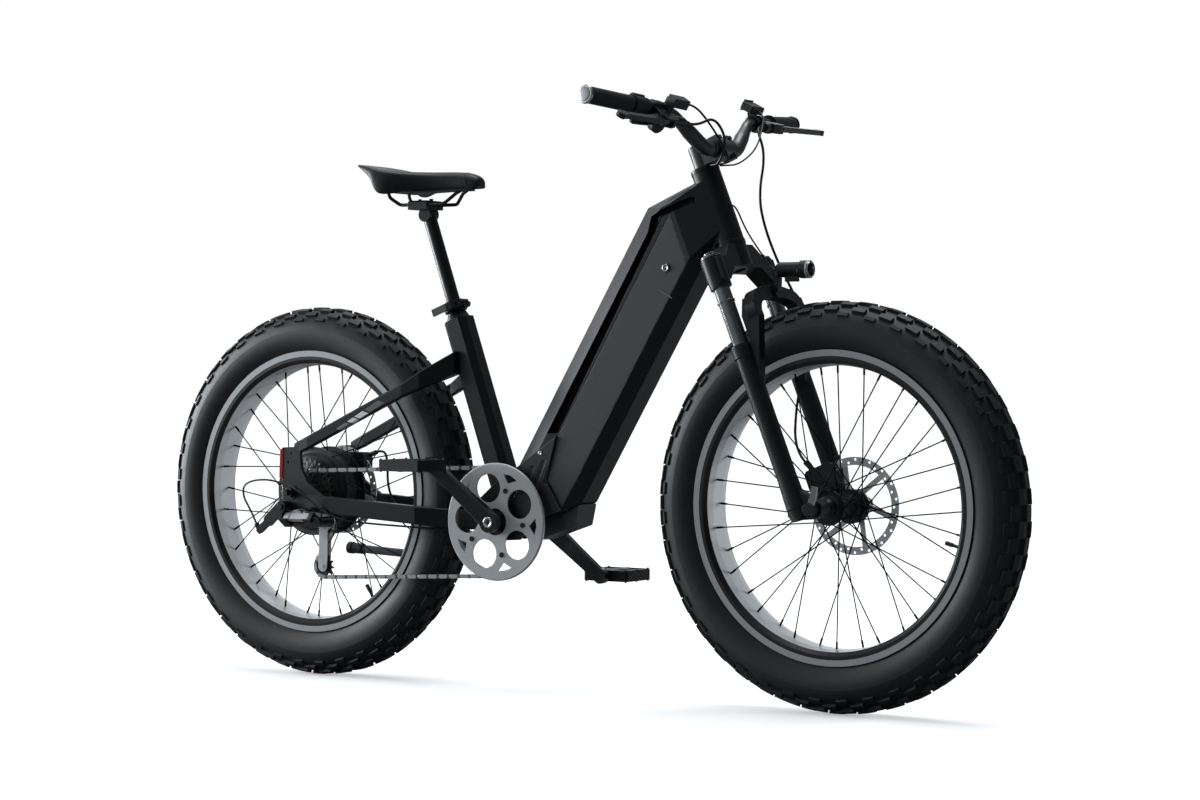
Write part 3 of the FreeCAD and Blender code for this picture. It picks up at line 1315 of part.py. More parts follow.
def rear_lines():
    tip = ADJUSTER + ADJUSTER_DIR * 0.3
    shift = [V(-72, -27, 296.5), V(-150, -29, 300), V(-232, -46, 306), V(-300, -76, 312), V(-430, -80, 316),
             V(-490, -100, 325), V(-530, -105, 350), V(-575, -116, 384), V(-640, -124, 402),
             V(-704, -121, 392), V(-712, -115, 364), tip + ADJUSTER_DIR * 32, tip]
    end = REAR_BANJO + REAR_BANJO_DIR * 0.3
    brake = [V(-72, 27, 296.5), V(-150, 29, 300), V(-232, 46, 306), V(-300, 78, 312), V(-380, 70, 319),
             V(-466, 72.5, 340), V(-488, 74, 385), V(-488, 75.5, 430), end + REAR_BANJO_DIR * 22, end]
    return [cord(shift, 2.2, 30), cord(brake, 2.5, 24)]


def save(name, shape):
    if isinstance(shape, list):
        shape = Part.makeCompound(shape)
    if LIFT:
        shape.translate(V(0, 0, LIFT))
    shape.exportStep("parts/" + name + ".step")
    vol = sum(s.Volume for s in shape.Solids)
    b = shape.BoundBox
    print(name, len(shape.Solids), shape.isValid(), round(vol / 1000, 1),
          [round(v, 1) for v in (b.XMin, b.XMax, b.YMin, b.YMax, b.ZMin, b.ZMax)], flush=True)


def moved(shape, x, z):
    items = shape if isinstance(shape, list) else [shape]
    out = []
    for s in items:
        c = s.copy()
        c.translate(V(x, 0, z))
        out.append(c)
    return out


def main():
    head, bb = headset()
    save("down_tube", down_tube())
    save("seat_tube", seat_tube())
    save("junction_covers", junction_cover())
    save("chainstays", chainstays())
    save("seatstays", seatstays())
    save("battery", battery_case())
    save("battery_covers", battery_covers())
    save("lower_cover", lower_cover())
    save("headset", head)
    save("bottom_bracket", bb)
    save("seat_collar", seat_collar())
    save("motor_axle", moved(motor_axle(), REAR_X, AXLE_Z))
    save("rear_caliper", rear_caliper())
    save("tail_lights", tail_lights())
    save("chain", chain())
    save("derailleur_knuckle", der_knuckle())
    save("control_cables", cables() + rear_lines())
    save("fork_crown", crown())
    save("stanchions", stanchions())
    save("stem", stem())
    save("handlebar", handlebar())
    save("grips", grips())
    save("display", display())
    save("shifter_body", shifter_body())
    save("brake_brackets", [lever_bracket(-1), lever_bracket(1)])
    save("front_brake_hose", front_hose())
    save("fork_lowers", lowers())
    save("front_caliper", front_caliper())
    save("headlight", headlight())
    save("front_axle", front_axle())
    save("throttle", throttle())
    save("right_brake_lever", brake_lever(-1))
    save("left_brake_lever", brake_lever(1))
    save("shift_lever", shift_lever())
    save("seat_lever", seat_lever())
    save("kickstand", kickstand())
    save("seatpost", seatpost())
    save("saddle_base", saddle_base())
    save("saddle_pad", saddle_pad())
    save("cassette", cassette())
    save("chainring", chainring())
    save("crank_arms", crank_arms())
    save("right_pedal", pedal(-1, CRANK_REST))
    save("left_pedal", pedal(1, CRANK_REST - 180))
    save("derailleur_outer_link", der_link(0, False))
    save("derailleur_inner_link", der_link(LINK_STEP, True))
    save("cage_knuckle", der_hanging())
    save("derailleur_cage", der_cage())
    save("guide_pulley", pulley(GUIDE))
    save("tension_pulley", pulley(TENSION))
    save("front_rim", moved(rim(-75), FRONT_X, AXLE_Z))
    save("front_spokes", moved(spokes(30, 39.75, 52), FRONT_X, AXLE_Z))
    save("front_hub", moved(front_hub(), FRONT_X, AXLE_Z))
    save("front_disc", moved(disc(FRONT_DISC_Y), FRONT_X, AXLE_Z))
    save("rear_rim", moved(rim(-32), REAR_X, AXLE_Z))
    save("rear_spokes", moved(spokes(86, 27.25, 24), REAR_X, AXLE_Z))
    save("motor_shell", moved(motor_shell(), REAR_X, AXLE_Z))
    save("rear_disc", moved(disc(REAR_DISC_Y), REAR_X, AXLE_Z))
    rubber = tyre()
    save("front_tyre", moved(rubber, FRONT_X, AXLE_Z))
    save("rear_tyre", moved(rubber, REAR_X, AXLE_Z))


main()
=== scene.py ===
"""Looks of a fat tire bike with a battery in its down tube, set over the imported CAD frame."""
import math

import bmesh
import bpy
from bpy.props import FloatProperty, FloatVectorProperty, PointerProperty
from mathutils import Matrix, Vector
from mathutils.bvhtree import BVHTree


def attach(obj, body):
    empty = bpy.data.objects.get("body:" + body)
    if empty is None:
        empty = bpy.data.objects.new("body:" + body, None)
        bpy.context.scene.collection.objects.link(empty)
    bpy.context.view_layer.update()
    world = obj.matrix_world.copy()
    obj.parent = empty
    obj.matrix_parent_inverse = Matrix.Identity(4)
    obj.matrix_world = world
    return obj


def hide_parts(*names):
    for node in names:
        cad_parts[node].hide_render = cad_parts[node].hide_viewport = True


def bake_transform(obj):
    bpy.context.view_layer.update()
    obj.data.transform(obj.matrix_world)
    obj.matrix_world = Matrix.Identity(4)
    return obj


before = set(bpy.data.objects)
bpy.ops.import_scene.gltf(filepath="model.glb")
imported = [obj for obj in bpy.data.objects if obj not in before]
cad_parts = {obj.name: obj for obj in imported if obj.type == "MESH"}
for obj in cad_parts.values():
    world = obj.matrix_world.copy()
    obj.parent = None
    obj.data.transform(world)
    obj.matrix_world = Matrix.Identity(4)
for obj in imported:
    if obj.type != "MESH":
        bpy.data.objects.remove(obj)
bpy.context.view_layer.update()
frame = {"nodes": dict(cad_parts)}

bl_info = {
    "name": "Fat Tire Bike Looks",
    "version": (1, 0, 0),
    "blender": (4, 5, 0),
    "location": "View3D > Sidebar > Bike",
    "description": "Finishes, saddle, cords and small trim of a fat tire bike",
    "category": "Object",
}

NODES = frame["nodes"]

# Places, directions and sizes on the bike, in metres
FRONT_AXLE = (0.6, 0.0, 0.374)
REAR_AXLE = (-0.6, 0.0, 0.374)
CRANK_AXLE = (-0.115, 0.0, 0.328)
DOWN_UP = (0.5150, 0.0, 0.8572)
DOWN_REAR = (-0.8572, 0.0, 0.5150)
CHANNEL_SIDE = (0.0285, 0.0392)
CHANNEL_REAR = (0.2345, 0.2652)
LOCK_X, LOCK_Z = 0.258, 0.812
STRIP_ENDS = ((0.2429, -0.2, 0.7709), (0.2715, -0.2, 0.7556))
COVER_SCREWS = ((-0.0222, 0.4623), (-0.100, 0.395))
STAY_MARK_AT = (-0.4804, 0.0, 0.5009)
STAY_WAY = (0.1078, 0.0, 0.0605)
STAY_RISE = (-0.0605, 0.0, 0.1078)
# Start, end and grey tone of each mark along the right seatstay
STAY_MARKS = ((0.0, 0.026, 0.22), (0.031, 0.047, 0.85), (0.051, 0.074, 0.85), (0.079, 0.118, 0.14))
CHAIN_Y = -0.062
BOLT_CIRCLE = 0.065
TYRE_RIBS = (0.289, 0.306)
RIM_SIDE = 0.0394
RIM_RING = 0.2738
RIM_BED = 0.2566
RIM_BED_HALF = 0.0325
DISC_TRACK = 0.074
AXLE_END = 0.0128
LAMP_FACE = (0.5366, 0.0, 0.806)
LAMP_LENS = (0.5338, 0.5366)
LAMP_RIM = 0.5368
STAND_FOOT = -0.5645
DISPLAY_AT = (0.3177, 0.167, 1.1226)
DISPLAY_AHEAD = (0.883, 0.0, -0.469)
DISPLAY_UP = (0.469, 0.0, 0.883)
SEAM_AT = (-0.2265, 0, 0.995)
SEAM_NORMAL = (1.0, 0.0, 0.35)

# The photo's camera, and the floor
CAMERA_AT = (3.0514, -4.5179, 0.6203)
CAMERA_LENS = 84.894
CAMERA_TURN = 0.58173
CAMERA_PITCH = math.radians(0.594)
CAMERA_ROLL = math.radians(0.136)
FLOOR_HALF = 60.0


def colour_prop(name, words, value):
    return FloatVectorProperty(name=name, description=words, default=value, subtype="COLOR", min=0.0,
                               max=1.0, size=3)


def length_prop(name, words, value):
    return FloatProperty(name=name, description=words, default=value, unit="LENGTH", subtype="DISTANCE",
                         min=0.0)


class BikeColours(bpy.types.PropertyGroup):
    """Colours of the finishes"""

    frame: colour_prop("Frame paint", "Satin paint of tubes and stays", (0.0060, 0.0066, 0.0074))
    cover: colour_prop("Covers", "Moulded covers on the frame", (0.0072, 0.0078, 0.0086))
    alloy: colour_prop("Black alloy", "Anodised fork, bar, cranks and hubs", (0.0062, 0.0066, 0.0074))
    grey: colour_prop("Grey alloy", "Machined guard, levers and links", (0.55, 0.56, 0.57))
    rim: colour_prop("Rim face", "Turned face of the rims", (0.43, 0.44, 0.45))
    steel: colour_prop("Bright steel", "Chain, sprockets and brake discs", (0.46, 0.46, 0.46))
    rubber: colour_prop("Rubber", "Tyres and grips", (0.0072, 0.0080, 0.0091))
    saddle: colour_prop("Saddle cover", "Grained cover of the saddle", (0.0052, 0.0057, 0.0065))
    lens: colour_prop("Tail lens", "Red lens strips at the dropouts", (0.42, 0.012, 0.016))


class BikeSizes(bpy.types.PropertyGroup):
    """Sizes of the small trim"""

    edge: length_prop("Edge round", "Radius of the shaded rounding on sharp edges", 0.0009)
    hose: length_prop("Brake hose", "Diameter of the brake hoses", 0.005)
    cable: length_prop("Shift cable", "Diameter of the shift cable", 0.004)
    wire: length_prop("Wire", "Diameter of the thin wires", 0.0032)


def colours():
    return bpy.context.scene.bike_colours


def sizes():
    return bpy.context.scene.bike_sizes


# Node helpers
def group_of(name, inputs, outputs):
    tree = bpy.data.node_groups.new(name, "ShaderNodeTree")
    for label, kind, value in inputs:
        tree.interface.new_socket(label, in_out="INPUT", socket_type=kind).default_value = value
    for label, kind in outputs:
        tree.interface.new_socket(label, in_out="OUTPUT", socket_type=kind)
    return tree, tree.nodes.new("NodeGroupInput"), tree.nodes.new("NodeGroupOutput")


def put(tree, kind, **settings):
    made = tree.nodes.new(kind)
    for key, value in settings.items():
        setattr(made, key, value)
    return made


def math_node(tree, operation, a, b=None, clamp=False):
    made = put(tree, "ShaderNodeMath", operation=operation, use_clamp=clamp)
    for slot, value in zip(made.inputs, (a, b)):
        if isinstance(value, (int, float)):
            slot.default_value = value
        elif value is not None:
            tree.links.new(value, slot)
    return made.outputs[0]


def mix_colour(tree, factor, a, b, blend="MIX"):
    made = put(tree, "ShaderNodeMix", data_type="RGBA", blend_type=blend)
    for slot, value in zip((made.inputs[0], made.inputs[6], made.inputs[7]), (factor, a, b)):
        if hasattr(value, "is_output"):
            tree.links.new(value, slot)
        elif isinstance(value, (int, float)):
            slot.default_value = value
        else:
            slot.default_value = (*value[:3], 1.0)
    return made.outputs[2]


def mix_value(tree, factor, a, b):
    made = put(tree, "ShaderNodeMix", data_type="FLOAT")
    for slot, value in zip((made.inputs[0], made.inputs[2], made.inputs[3]), (factor, a, b)):
        if hasattr(value, "is_output"):
            tree.links.new(value, slot)
        else:
            slot.default_value = value
    return made.outputs[0]


def band(tree, value, low, high, soft):
    """A mask of 1 between low and high, with soft sides."""
    up = put(tree, "ShaderNodeMapRange", interpolation_type="SMOOTHSTEP")
    down = put(tree, "ShaderNodeMapRange", interpolation_type="SMOOTHSTEP")
    for made, a, b in ((up, low - soft, low + soft), (down, high + soft, high - soft)):
        tree.links.new(value, made.inputs["Value"])
        made.inputs["From Min"].default_value = a
        made.inputs["From Max"].default_value = b
    return math_node(tree, "MULTIPLY", up.outputs[0], down.outputs[0])


def make_groups():
    """Shared surface effects, each a node group with its own inputs."""
    tree, gin, gout = group_of("fine_grain",
                               [("Scale", "NodeSocketFloat", 900.0), ("Detail", "NodeSocketFloat", 4.0)],
                               [("Grain", "NodeSocketFloat")])
    where = put(tree, "ShaderNodeTexCoord")
    noise = put(tree, "ShaderNodeTexNoise")
    tree.links.new(where.outputs["Object"], noise.inputs["Vector"])
    tree.links.new(gin.outputs["Scale"], noise.inputs["Scale"])
    tree.links.new(gin.outputs["Detail"], noise.inputs["Detail"])
    tree.links.new(noise.outputs[0], gout.inputs["Grain"])

    tree, gin, gout = group_of("colour_drift", [("Dark", "NodeSocketColor", (0, 0, 0, 1)),
                                                ("Light", "NodeSocketColor", (1, 1, 1, 1)),
                                                ("Scale", "NodeSocketFloat", 14.0)],
                               [("Color", "NodeSocketColor"), ("Drift", "NodeSocketFloat")])
    where = put(tree, "ShaderNodeTexCoord")
    noise = put(tree, "ShaderNodeTexNoise")
    noise.inputs["Detail"].default_value = 5.0
    noise.inputs["Roughness"].default_value = 0.62
    tree.links.new(where.outputs["Object"], noise.inputs["Vector"])
    tree.links.new(gin.outputs["Scale"], noise.inputs["Scale"])
    spread = put(tree, "ShaderNodeMapRange")
    spread.inputs["From Min"].default_value = 0.3
    spread.inputs["From Max"].default_value = 0.7
    tree.links.new(noise.outputs[0], spread.inputs["Value"])
    tree.links.new(mix_colour(tree, spread.outputs[0], gin.outputs["Dark"], gin.outputs["Light"]),
                   gout.inputs["Color"])
    tree.links.new(spread.outputs[0], gout.inputs["Drift"])

    tree, gin, gout = group_of("soft_edge",
                               [("Radius", "NodeSocketFloat", 0.0008), ("Amount", "NodeSocketFloat", 1.0)],
                               [("Edge", "NodeSocketFloat"), ("Normal", "NodeSocketVector")])
    bevel = put(tree, "ShaderNodeBevel", samples=4)
    shape = put(tree, "ShaderNodeNewGeometry")
    facing = put(tree, "ShaderNodeVectorMath", operation="DOT_PRODUCT")
    tree.links.new(gin.outputs["Radius"], bevel.inputs["Radius"])
    tree.links.new(bevel.outputs[0], facing.inputs[0])
    tree.links.new(shape.outputs["Normal"], facing.inputs[1])
    lost = math_node(tree, "SUBTRACT", 1.0, facing.outputs["Value"])
    sharp = math_node(tree, "MULTIPLY", lost, 5.0, True)
    edge = math_node(tree, "MULTIPLY", sharp, gin.outputs["Amount"], True)
    tree.links.new(edge, gout.inputs["Edge"])
    tree.links.new(bevel.outputs[0], gout.inputs["Normal"])

    tree, gin, gout = group_of("turned_rings", [("Centre", "NodeSocketVector", (0, 0, 0)),
                                                ("Fineness", "NodeSocketFloat", 900.0)],
                               [("Rings", "NodeSocketFloat"), ("Radius", "NodeSocketFloat"),
                                ("Side", "NodeSocketFloat")])
    where = put(tree, "ShaderNodeTexCoord")
    off = put(tree, "ShaderNodeVectorMath", operation="SUBTRACT")
    tree.links.new(where.outputs["Object"], off.inputs[0])
    tree.links.new(gin.outputs["Centre"], off.inputs[1])
    parts = put(tree, "ShaderNodeSeparateXYZ")
    tree.links.new(off.outputs[0], parts.inputs[0])
    xx = math_node(tree, "MULTIPLY", parts.outputs["X"], parts.outputs["X"])
    zz = math_node(tree, "MULTIPLY", parts.outputs["Z"], parts.outputs["Z"])
    radius = math_node(tree, "SQRT", math_node(tree, "ADD", xx, zz))
    side = math_node(tree, "ABSOLUTE", parts.outputs["Y"])
    lines = put(tree, "ShaderNodeTexNoise", noise_dimensions="1D")
    lines.inputs["Detail"].default_value = 3.0
    tree.links.new(radius, lines.inputs["W"])
    tree.links.new(gin.outputs["Fineness"], lines.inputs["Scale"])
    tree.links.new(lines.outputs[0], gout.inputs["Rings"])
    tree.links.new(radius, gout.inputs["Radius"])
    tree.links.new(side, gout.inputs["Side"])

    tree, gin, gout = group_of("skin_pores", [("Scale", "NodeSocketFloat", 900.0)],
                               [("Height", "NodeSocketFloat")])
    where = put(tree, "ShaderNodeTexCoord")
    cells = put(tree, "ShaderNodeTexVoronoi", feature="DISTANCE_TO_EDGE")
    tree.links.new(where.outputs["Object"], cells.inputs["Vector"])
    tree.links.new(gin.outputs["Scale"], cells.inputs["Scale"])
    tree.links.new(math_node(tree, "MULTIPLY", cells.outputs["Distance"], 2.2, True), gout.inputs["Height"])


def use_group(tree, name, **values):
    made = put(tree, "ShaderNodeGroup", node_tree=bpy.data.node_groups[name])
    for key, value in values.items():
        slot = made.inputs[key]
        if hasattr(value, "is_output"):
            tree.links.new(value, slot)
        elif slot.type == "RGBA":
            slot.default_value = (*value[:3], 1.0)
        else:
            slot.default_value = value
    return made


class Finish:
    """A material whose colour, gloss and relief come from the shared groups, with an optional painted
    highlight on its sharp edges.
    """

    def __init__(self, name, colour, rough, metal=0.0, spec=0.4, spread=0.25, drift=14.0, grain=1100.0,
                 relief=0.06, pores=None, edge=None, edge_light=0.0, coat=0.0):
        self.material = bpy.data.materials.new(name)
        self.material.use_nodes = True
        self.tree = tree = self.material.node_tree
        self.shader = shader = tree.nodes["Principled BSDF"]
        shader.inputs["Specular IOR Level"].default_value = spec
        shader.inputs["Metallic"].default_value = metal
        shader.inputs["Coat Weight"].default_value = coat
        dark = [c * (1 - spread) for c in colour]
        light = [min(1.0, c * (1 + spread)) for c in colour]
        tone = use_group(tree, "colour_drift", Dark=dark, Light=light, Scale=drift)
        self.colour = tone.outputs["Color"]
        soft = use_group(tree, "soft_edge", Radius=sizes().edge if edge is None else edge)
        # Painted highlight: where the edge mask is 1, the colour is mixed to a lighter tone that stands in
        # for light caught on sharp edges.
        if edge_light:
            lit = [min(1.0, c * (1 + edge_light) + 0.01 * edge_light) for c in colour]
            self.colour = mix_colour(tree, soft.outputs["Edge"], self.colour, lit)
        fine = use_group(tree, "fine_grain", Scale=grain)
        spread_rough = put(tree, "ShaderNodeMapRange")
        spread_rough.inputs["To Min"].default_value = max(0.03, rough - 0.09)
        spread_rough.inputs["To Max"].default_value = min(1.0, rough + 0.09)
        tree.links.new(fine.outputs["Grain"], spread_rough.inputs["Value"])
        self.rough = spread_rough.outputs[0]
        self.height = fine.outputs["Grain"]
        if pores:
            self.height = use_group(tree, "skin_pores", Scale=pores).outputs["Height"]
        self.bump = put(tree, "ShaderNodeBump")
        self.bump.inputs["Strength"].default_value = relief
        self.bump.inputs["Distance"].default_value = 0.0006
        tree.links.new(soft.outputs["Normal"], self.bump.inputs["Normal"])
        self.metal = metal

    def zone(self, mask, colour=None, rough=None, metal=None):
        """Another tone where the mask is 1."""
        tree = self.tree
        if colour is not None:
            self.colour = mix_colour(tree, mask, self.colour, colour)
        if rough is not None:
            self.rough = mix_value(tree, mask, self.rough, rough)
        if metal is not None:
            self.metal = mix_value(tree, mask, self.metal, metal)

    def done(self):
        tree, shader = self.tree, self.shader
        tree.links.new(self.colour, shader.inputs["Base Color"])
        tree.links.new(self.rough, shader.inputs["Roughness"])
        tree.links.new(self.height, self.bump.inputs["Height"])
        tree.links.new(self.bump.outputs[0], shader.inputs["Normal"])
        if hasattr(self.metal, "is_output"):
            tree.links.new(self.metal, shader.inputs["Metallic"])
        return self.material

    def position(self):
        where = put(self.tree, "ShaderNodeTexCoord")
        parts = put(self.tree, "ShaderNodeSeparateXYZ")
        self.tree.links.new(where.outputs["Object"], parts.inputs[0])
        return parts.outputs

    def along(self, origin, direction):
        """Distance from a point along a direction, as a value."""
        where = put(self.tree, "ShaderNodeTexCoord")
        off = put(self.tree, "ShaderNodeVectorMath", operation="SUBTRACT")
        dot = put(self.tree, "ShaderNodeVectorMath", operation="DOT_PRODUCT")
        self.tree.links.new(where.outputs["Object"], off.inputs[0])
        off.inputs[1].default_value = origin
        self.tree.links.new(off.outputs[0], dot.inputs[0])
        dot.inputs[1].default_value = Vector(direction).normalized()
        return dot.outputs["Value"]


def paint(material, *names):
    for name in names:
        node = NODES[name]
        node.data.materials.clear()
        node.data.materials.append(material)


def placed(name, data):
    """A new object in the scene."""
    made = bpy.data.objects.new(name, data)
    bpy.context.scene.collection.objects.link(made)
    return made


def piece(name, mesh, material, body, smooth=True):
    """A new piece of the bike that rides on a body."""
    made = placed(name, mesh)
    mesh.materials.append(material)
    if smooth:
        for face in mesh.polygons:
            face.use_smooth = True
    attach(made, body)
    return made


def turned_mesh(name, profile, origin, axis, steps=48):
    """A mesh turned from (radius, height) pairs about an axis."""
    turn = Vector(axis).normalized().to_track_quat("Z", "Y").to_matrix()
    angles = [2 * math.pi * k / steps for k in range(steps)]
    rings = []
    build = bmesh.new()
    for radius, height in profile:
        spots = [Vector((radius * math.cos(a), radius * math.sin(a), height)) for a in angles]
        rings.append([build.verts.new(Vector(origin) + turn @ spot) for spot in spots])
    for low, high in zip(rings, rings[1:]):
        for k in range(steps):
            build.faces.new((low[k], low[(k + 1) % steps], high[(k + 1) % steps], high[k]))
    build.faces.new(rings[0][::-1])
    build.faces.new(rings[-1])
    mesh = bpy.data.meshes.new(name)
    build.to_mesh(mesh)
    build.free()
    return mesh


def box_mesh(name, *boxes):
    """Boxes, each a centre, the directions of its length and width, and its three sizes."""
    build = bmesh.new()
    for centre, along, across, size in boxes:
        u = Vector(along).normalized()
        v = Vector(across)
        v = (v - u * v.dot(u)).normalized()
        turn = Matrix((u, v, u.cross(v))).transposed()
        for vert in bmesh.ops.create_cube(build, size=1.0)["verts"]:
            vert.co = Vector(centre) + turn @ Vector([c * s for c, s in zip(vert.co, size)])
    mesh = bpy.data.meshes.new(name)
    build.to_mesh(mesh)
    build.free()
    return mesh


def face_of(node, start, direction):
    """The point where a ray meets a node."""
    data = NODES[node].data
    tree = BVHTree.FromPolygons([v.co for v in data.vertices], [list(f.vertices) for f in data.polygons])
    spot = tree.ray_cast(Vector(start), Vector(direction).normalized())[0]
    if spot is None:
        raise ValueError("the ray meets no face of " + node)
    return spot


def satin_paint(name, spread=0.22):
    return Finish(name, colours().frame, 0.40, spec=0.4, spread=spread, grain=1200.0, relief=0.02,
                  edge_light=2.0)


def black_alloy(name, rough=0.38, spread=0.3, **more):
    return Finish(name, colours().alloy, rough, metal=0.0, spec=0.45, spread=spread, grain=1500.0,
                  relief=0.05, **more)


class BIKE_OT_frame(bpy.types.Operator):
    """Paint the tubes and stays and finish the covers, battery and lock"""

    bl_idname = "bike.frame"
    bl_label = "Frame and battery"

    def execute(self, context):
        tint = colours()
        paint(satin_paint("frame_satin_black").done(), "seat_tube", "chainstays", "seat_collar")
        tube = satin_paint("tube_satin_black")
        # Painted shade: the floor of the recessed channel in the down tube is painted darker, where the
        # recess lies in shade.
        side = math_node(tube.tree, "ABSOLUTE", tube.position()["Y"])
        rear = tube.along((0.0, 0.0, 0.0), DOWN_REAR)
        floor = math_node(tube.tree, "MULTIPLY", band(tube.tree, side, *CHANNEL_SIDE, 0.0004),
                          band(tube.tree, rear, *CHANNEL_REAR, 0.0004))
        tube.zone(floor, [c * 0.3 for c in tint.frame], 0.75)
        paint(tube.done(), "down_tube")
        stays = satin_paint("stay_satin_black", 0.25)
        run = stays.along(STAY_MARK_AT, STAY_WAY)
        rise = stays.along(STAY_MARK_AT, STAY_RISE)
        slant = math_node(stays.tree, "ADD", run, rise)
        right = band(stays.tree, stays.position()["Y"], -0.2, -0.058, 0.0005)
        middle = math_node(stays.tree, "MULTIPLY", right, band(stays.tree, rise, -0.0055, 0.0055, 0.0003))
        for low, high, tone in STAY_MARKS:
            mark = math_node(stays.tree, "MULTIPLY", middle, band(stays.tree, slant, low, high, 0.0003))
            stays.zone(mark, (tone, tone, tone), 0.45)
        paint(stays.done(), "seatstays")
        cover = Finish("cover_moulded", [c * 2.0 for c in tint.cover], 0.46, spec=0.8, spread=0.18,
                       pores=2600.0, relief=0.05, edge_light=1.0)
        paint(cover.done(), "battery_covers", "lower_cover")
        # Painted highlight: a strong light tone is painted along the cover's sharp edges.
        fins = Finish("junction_moulded", [c * 1.5 for c in tint.cover], 0.42, spec=0.5, spread=0.18,
                      relief=0.02, edge=0.0018, edge_light=9.0)
        paint(fins.done(), "junction_covers")
        self.lock()
        self.ribs()
        paint(Finish("battery_case", tint.cover, 0.6, spec=0.3, pores=2000.0, relief=0.12).done(), "battery")
        bearing = Finish("bearing_black", tint.alloy, 0.3, spec=0.5, grain=1600.0)
        paint(bearing.done(), "headset", "bottom_bracket")
        return {"FINISHED"}

    def lock(self):
        """Key lock, charge port, release strip and cover screws."""
        bright = Finish("lock_silver", (0.55, 0.56, 0.57), 0.26, metal=1.0, spread=0.1).done()
        dark = Finish("lock_dark", colours().cover, 0.4).done()
        for side in (-1, 1):
            spot = face_of("battery_covers", (LOCK_X, side * 0.2, LOCK_Z), (0, -side, 0))
            ring = [(0.0072, -0.001), (0.0072, 0.0010), (0.0064, 0.0016), (0.0044, 0.0016), (0.0040, 0.0006)]
            piece("key_lock_ring" if side < 0 else "charge_port_ring",
                  turned_mesh("ring", ring, spot, (0, side, 0)),
                  bright if side < 0 else dark, "frame")
            core = [(0.0040, -0.001), (0.0040, 0.0011), (0.0037, 0.0013)]
            piece("key_lock_core" if side < 0 else "charge_port_cap",
                  turned_mesh("core", core, spot, (0, side, 0)), dark, "frame")
        spot = face_of("battery_covers", (LOCK_X, -0.2, LOCK_Z), (0, 1, 0))
        slot = (spot + Vector((0, -0.0013, 0)), DOWN_UP, (0, 1, 0), (0.0046, 0.0006, 0.0011))
        piece("key_slot", box_mesh("slot", slot), bright, "frame", smooth=False)
        a, b = (Vector(end) for end in STRIP_ENDS)
        spot = face_of("battery_covers", (a + b) / 2, (0, 1, 0))
        grey = Finish("strip_grey", (0.16, 0.165, 0.17), 0.4, metal=0.6).done()
        piece("release_strip", box_mesh("strip", (spot, b - a, (0, 1, 0), ((b - a).length, 0.0010, 0.0022))),
              grey, "frame", smooth=False)
        for side in (-1, 1):
            for x, z in COVER_SCREWS:
                spot = face_of("junction_covers", (x, side * 0.2, z), (0, -side, 0))
                screw = [(0.0042, -0.001), (0.0042, 0.0008), (0.0034, 0.0014), (0.0021, 0.0014),
                         (0.0019, 0.0004)]
                piece("cover_screw." + ("right" if side < 0 else "left") + str(int(-x * 1000)),
                      turned_mesh("screw", screw, spot, (0, side, 0), 24), bright, "frame")

    def ribs(self):
        """Thin ribs in the closed slots of each junction cover."""
        # Painted highlight: the ribs are a paler grey than the cover around them, standing in for the light
        # they catch, and their edges are lightened as well.
        pale = Finish("rib_grey", (0.045, 0.047, 0.05), 0.4, spec=0.5, spread=0.1, edge=0.0003,
                      edge_light=2.0).done()
        for side, word in ((-1, "right"), (1, "left")):
            boxes = []
            for k in range(3):
                low = Vector((-0.096 + 0.026 * k, 0.0, 0.372 + 0.010 * k))
                way = Vector((0.025, 0.0, 0.053 + 0.002 * k))
                for across in (0.0018, 0.0055, 0.0092):
                    middle = low + way / 2 + Vector((across, side * 0.2, 0.0))
                    spot = face_of("junction_covers", middle, (0, -side, 0))
                    boxes.append((spot + Vector((0, side * 0.0009, 0)), way, (0, 1, 0),
                                  (way.length * 0.9, 0.0026, 0.0013)))
            piece("cover_ribs." + word, box_mesh("ribs", *boxes), pale, "frame", smooth=False)


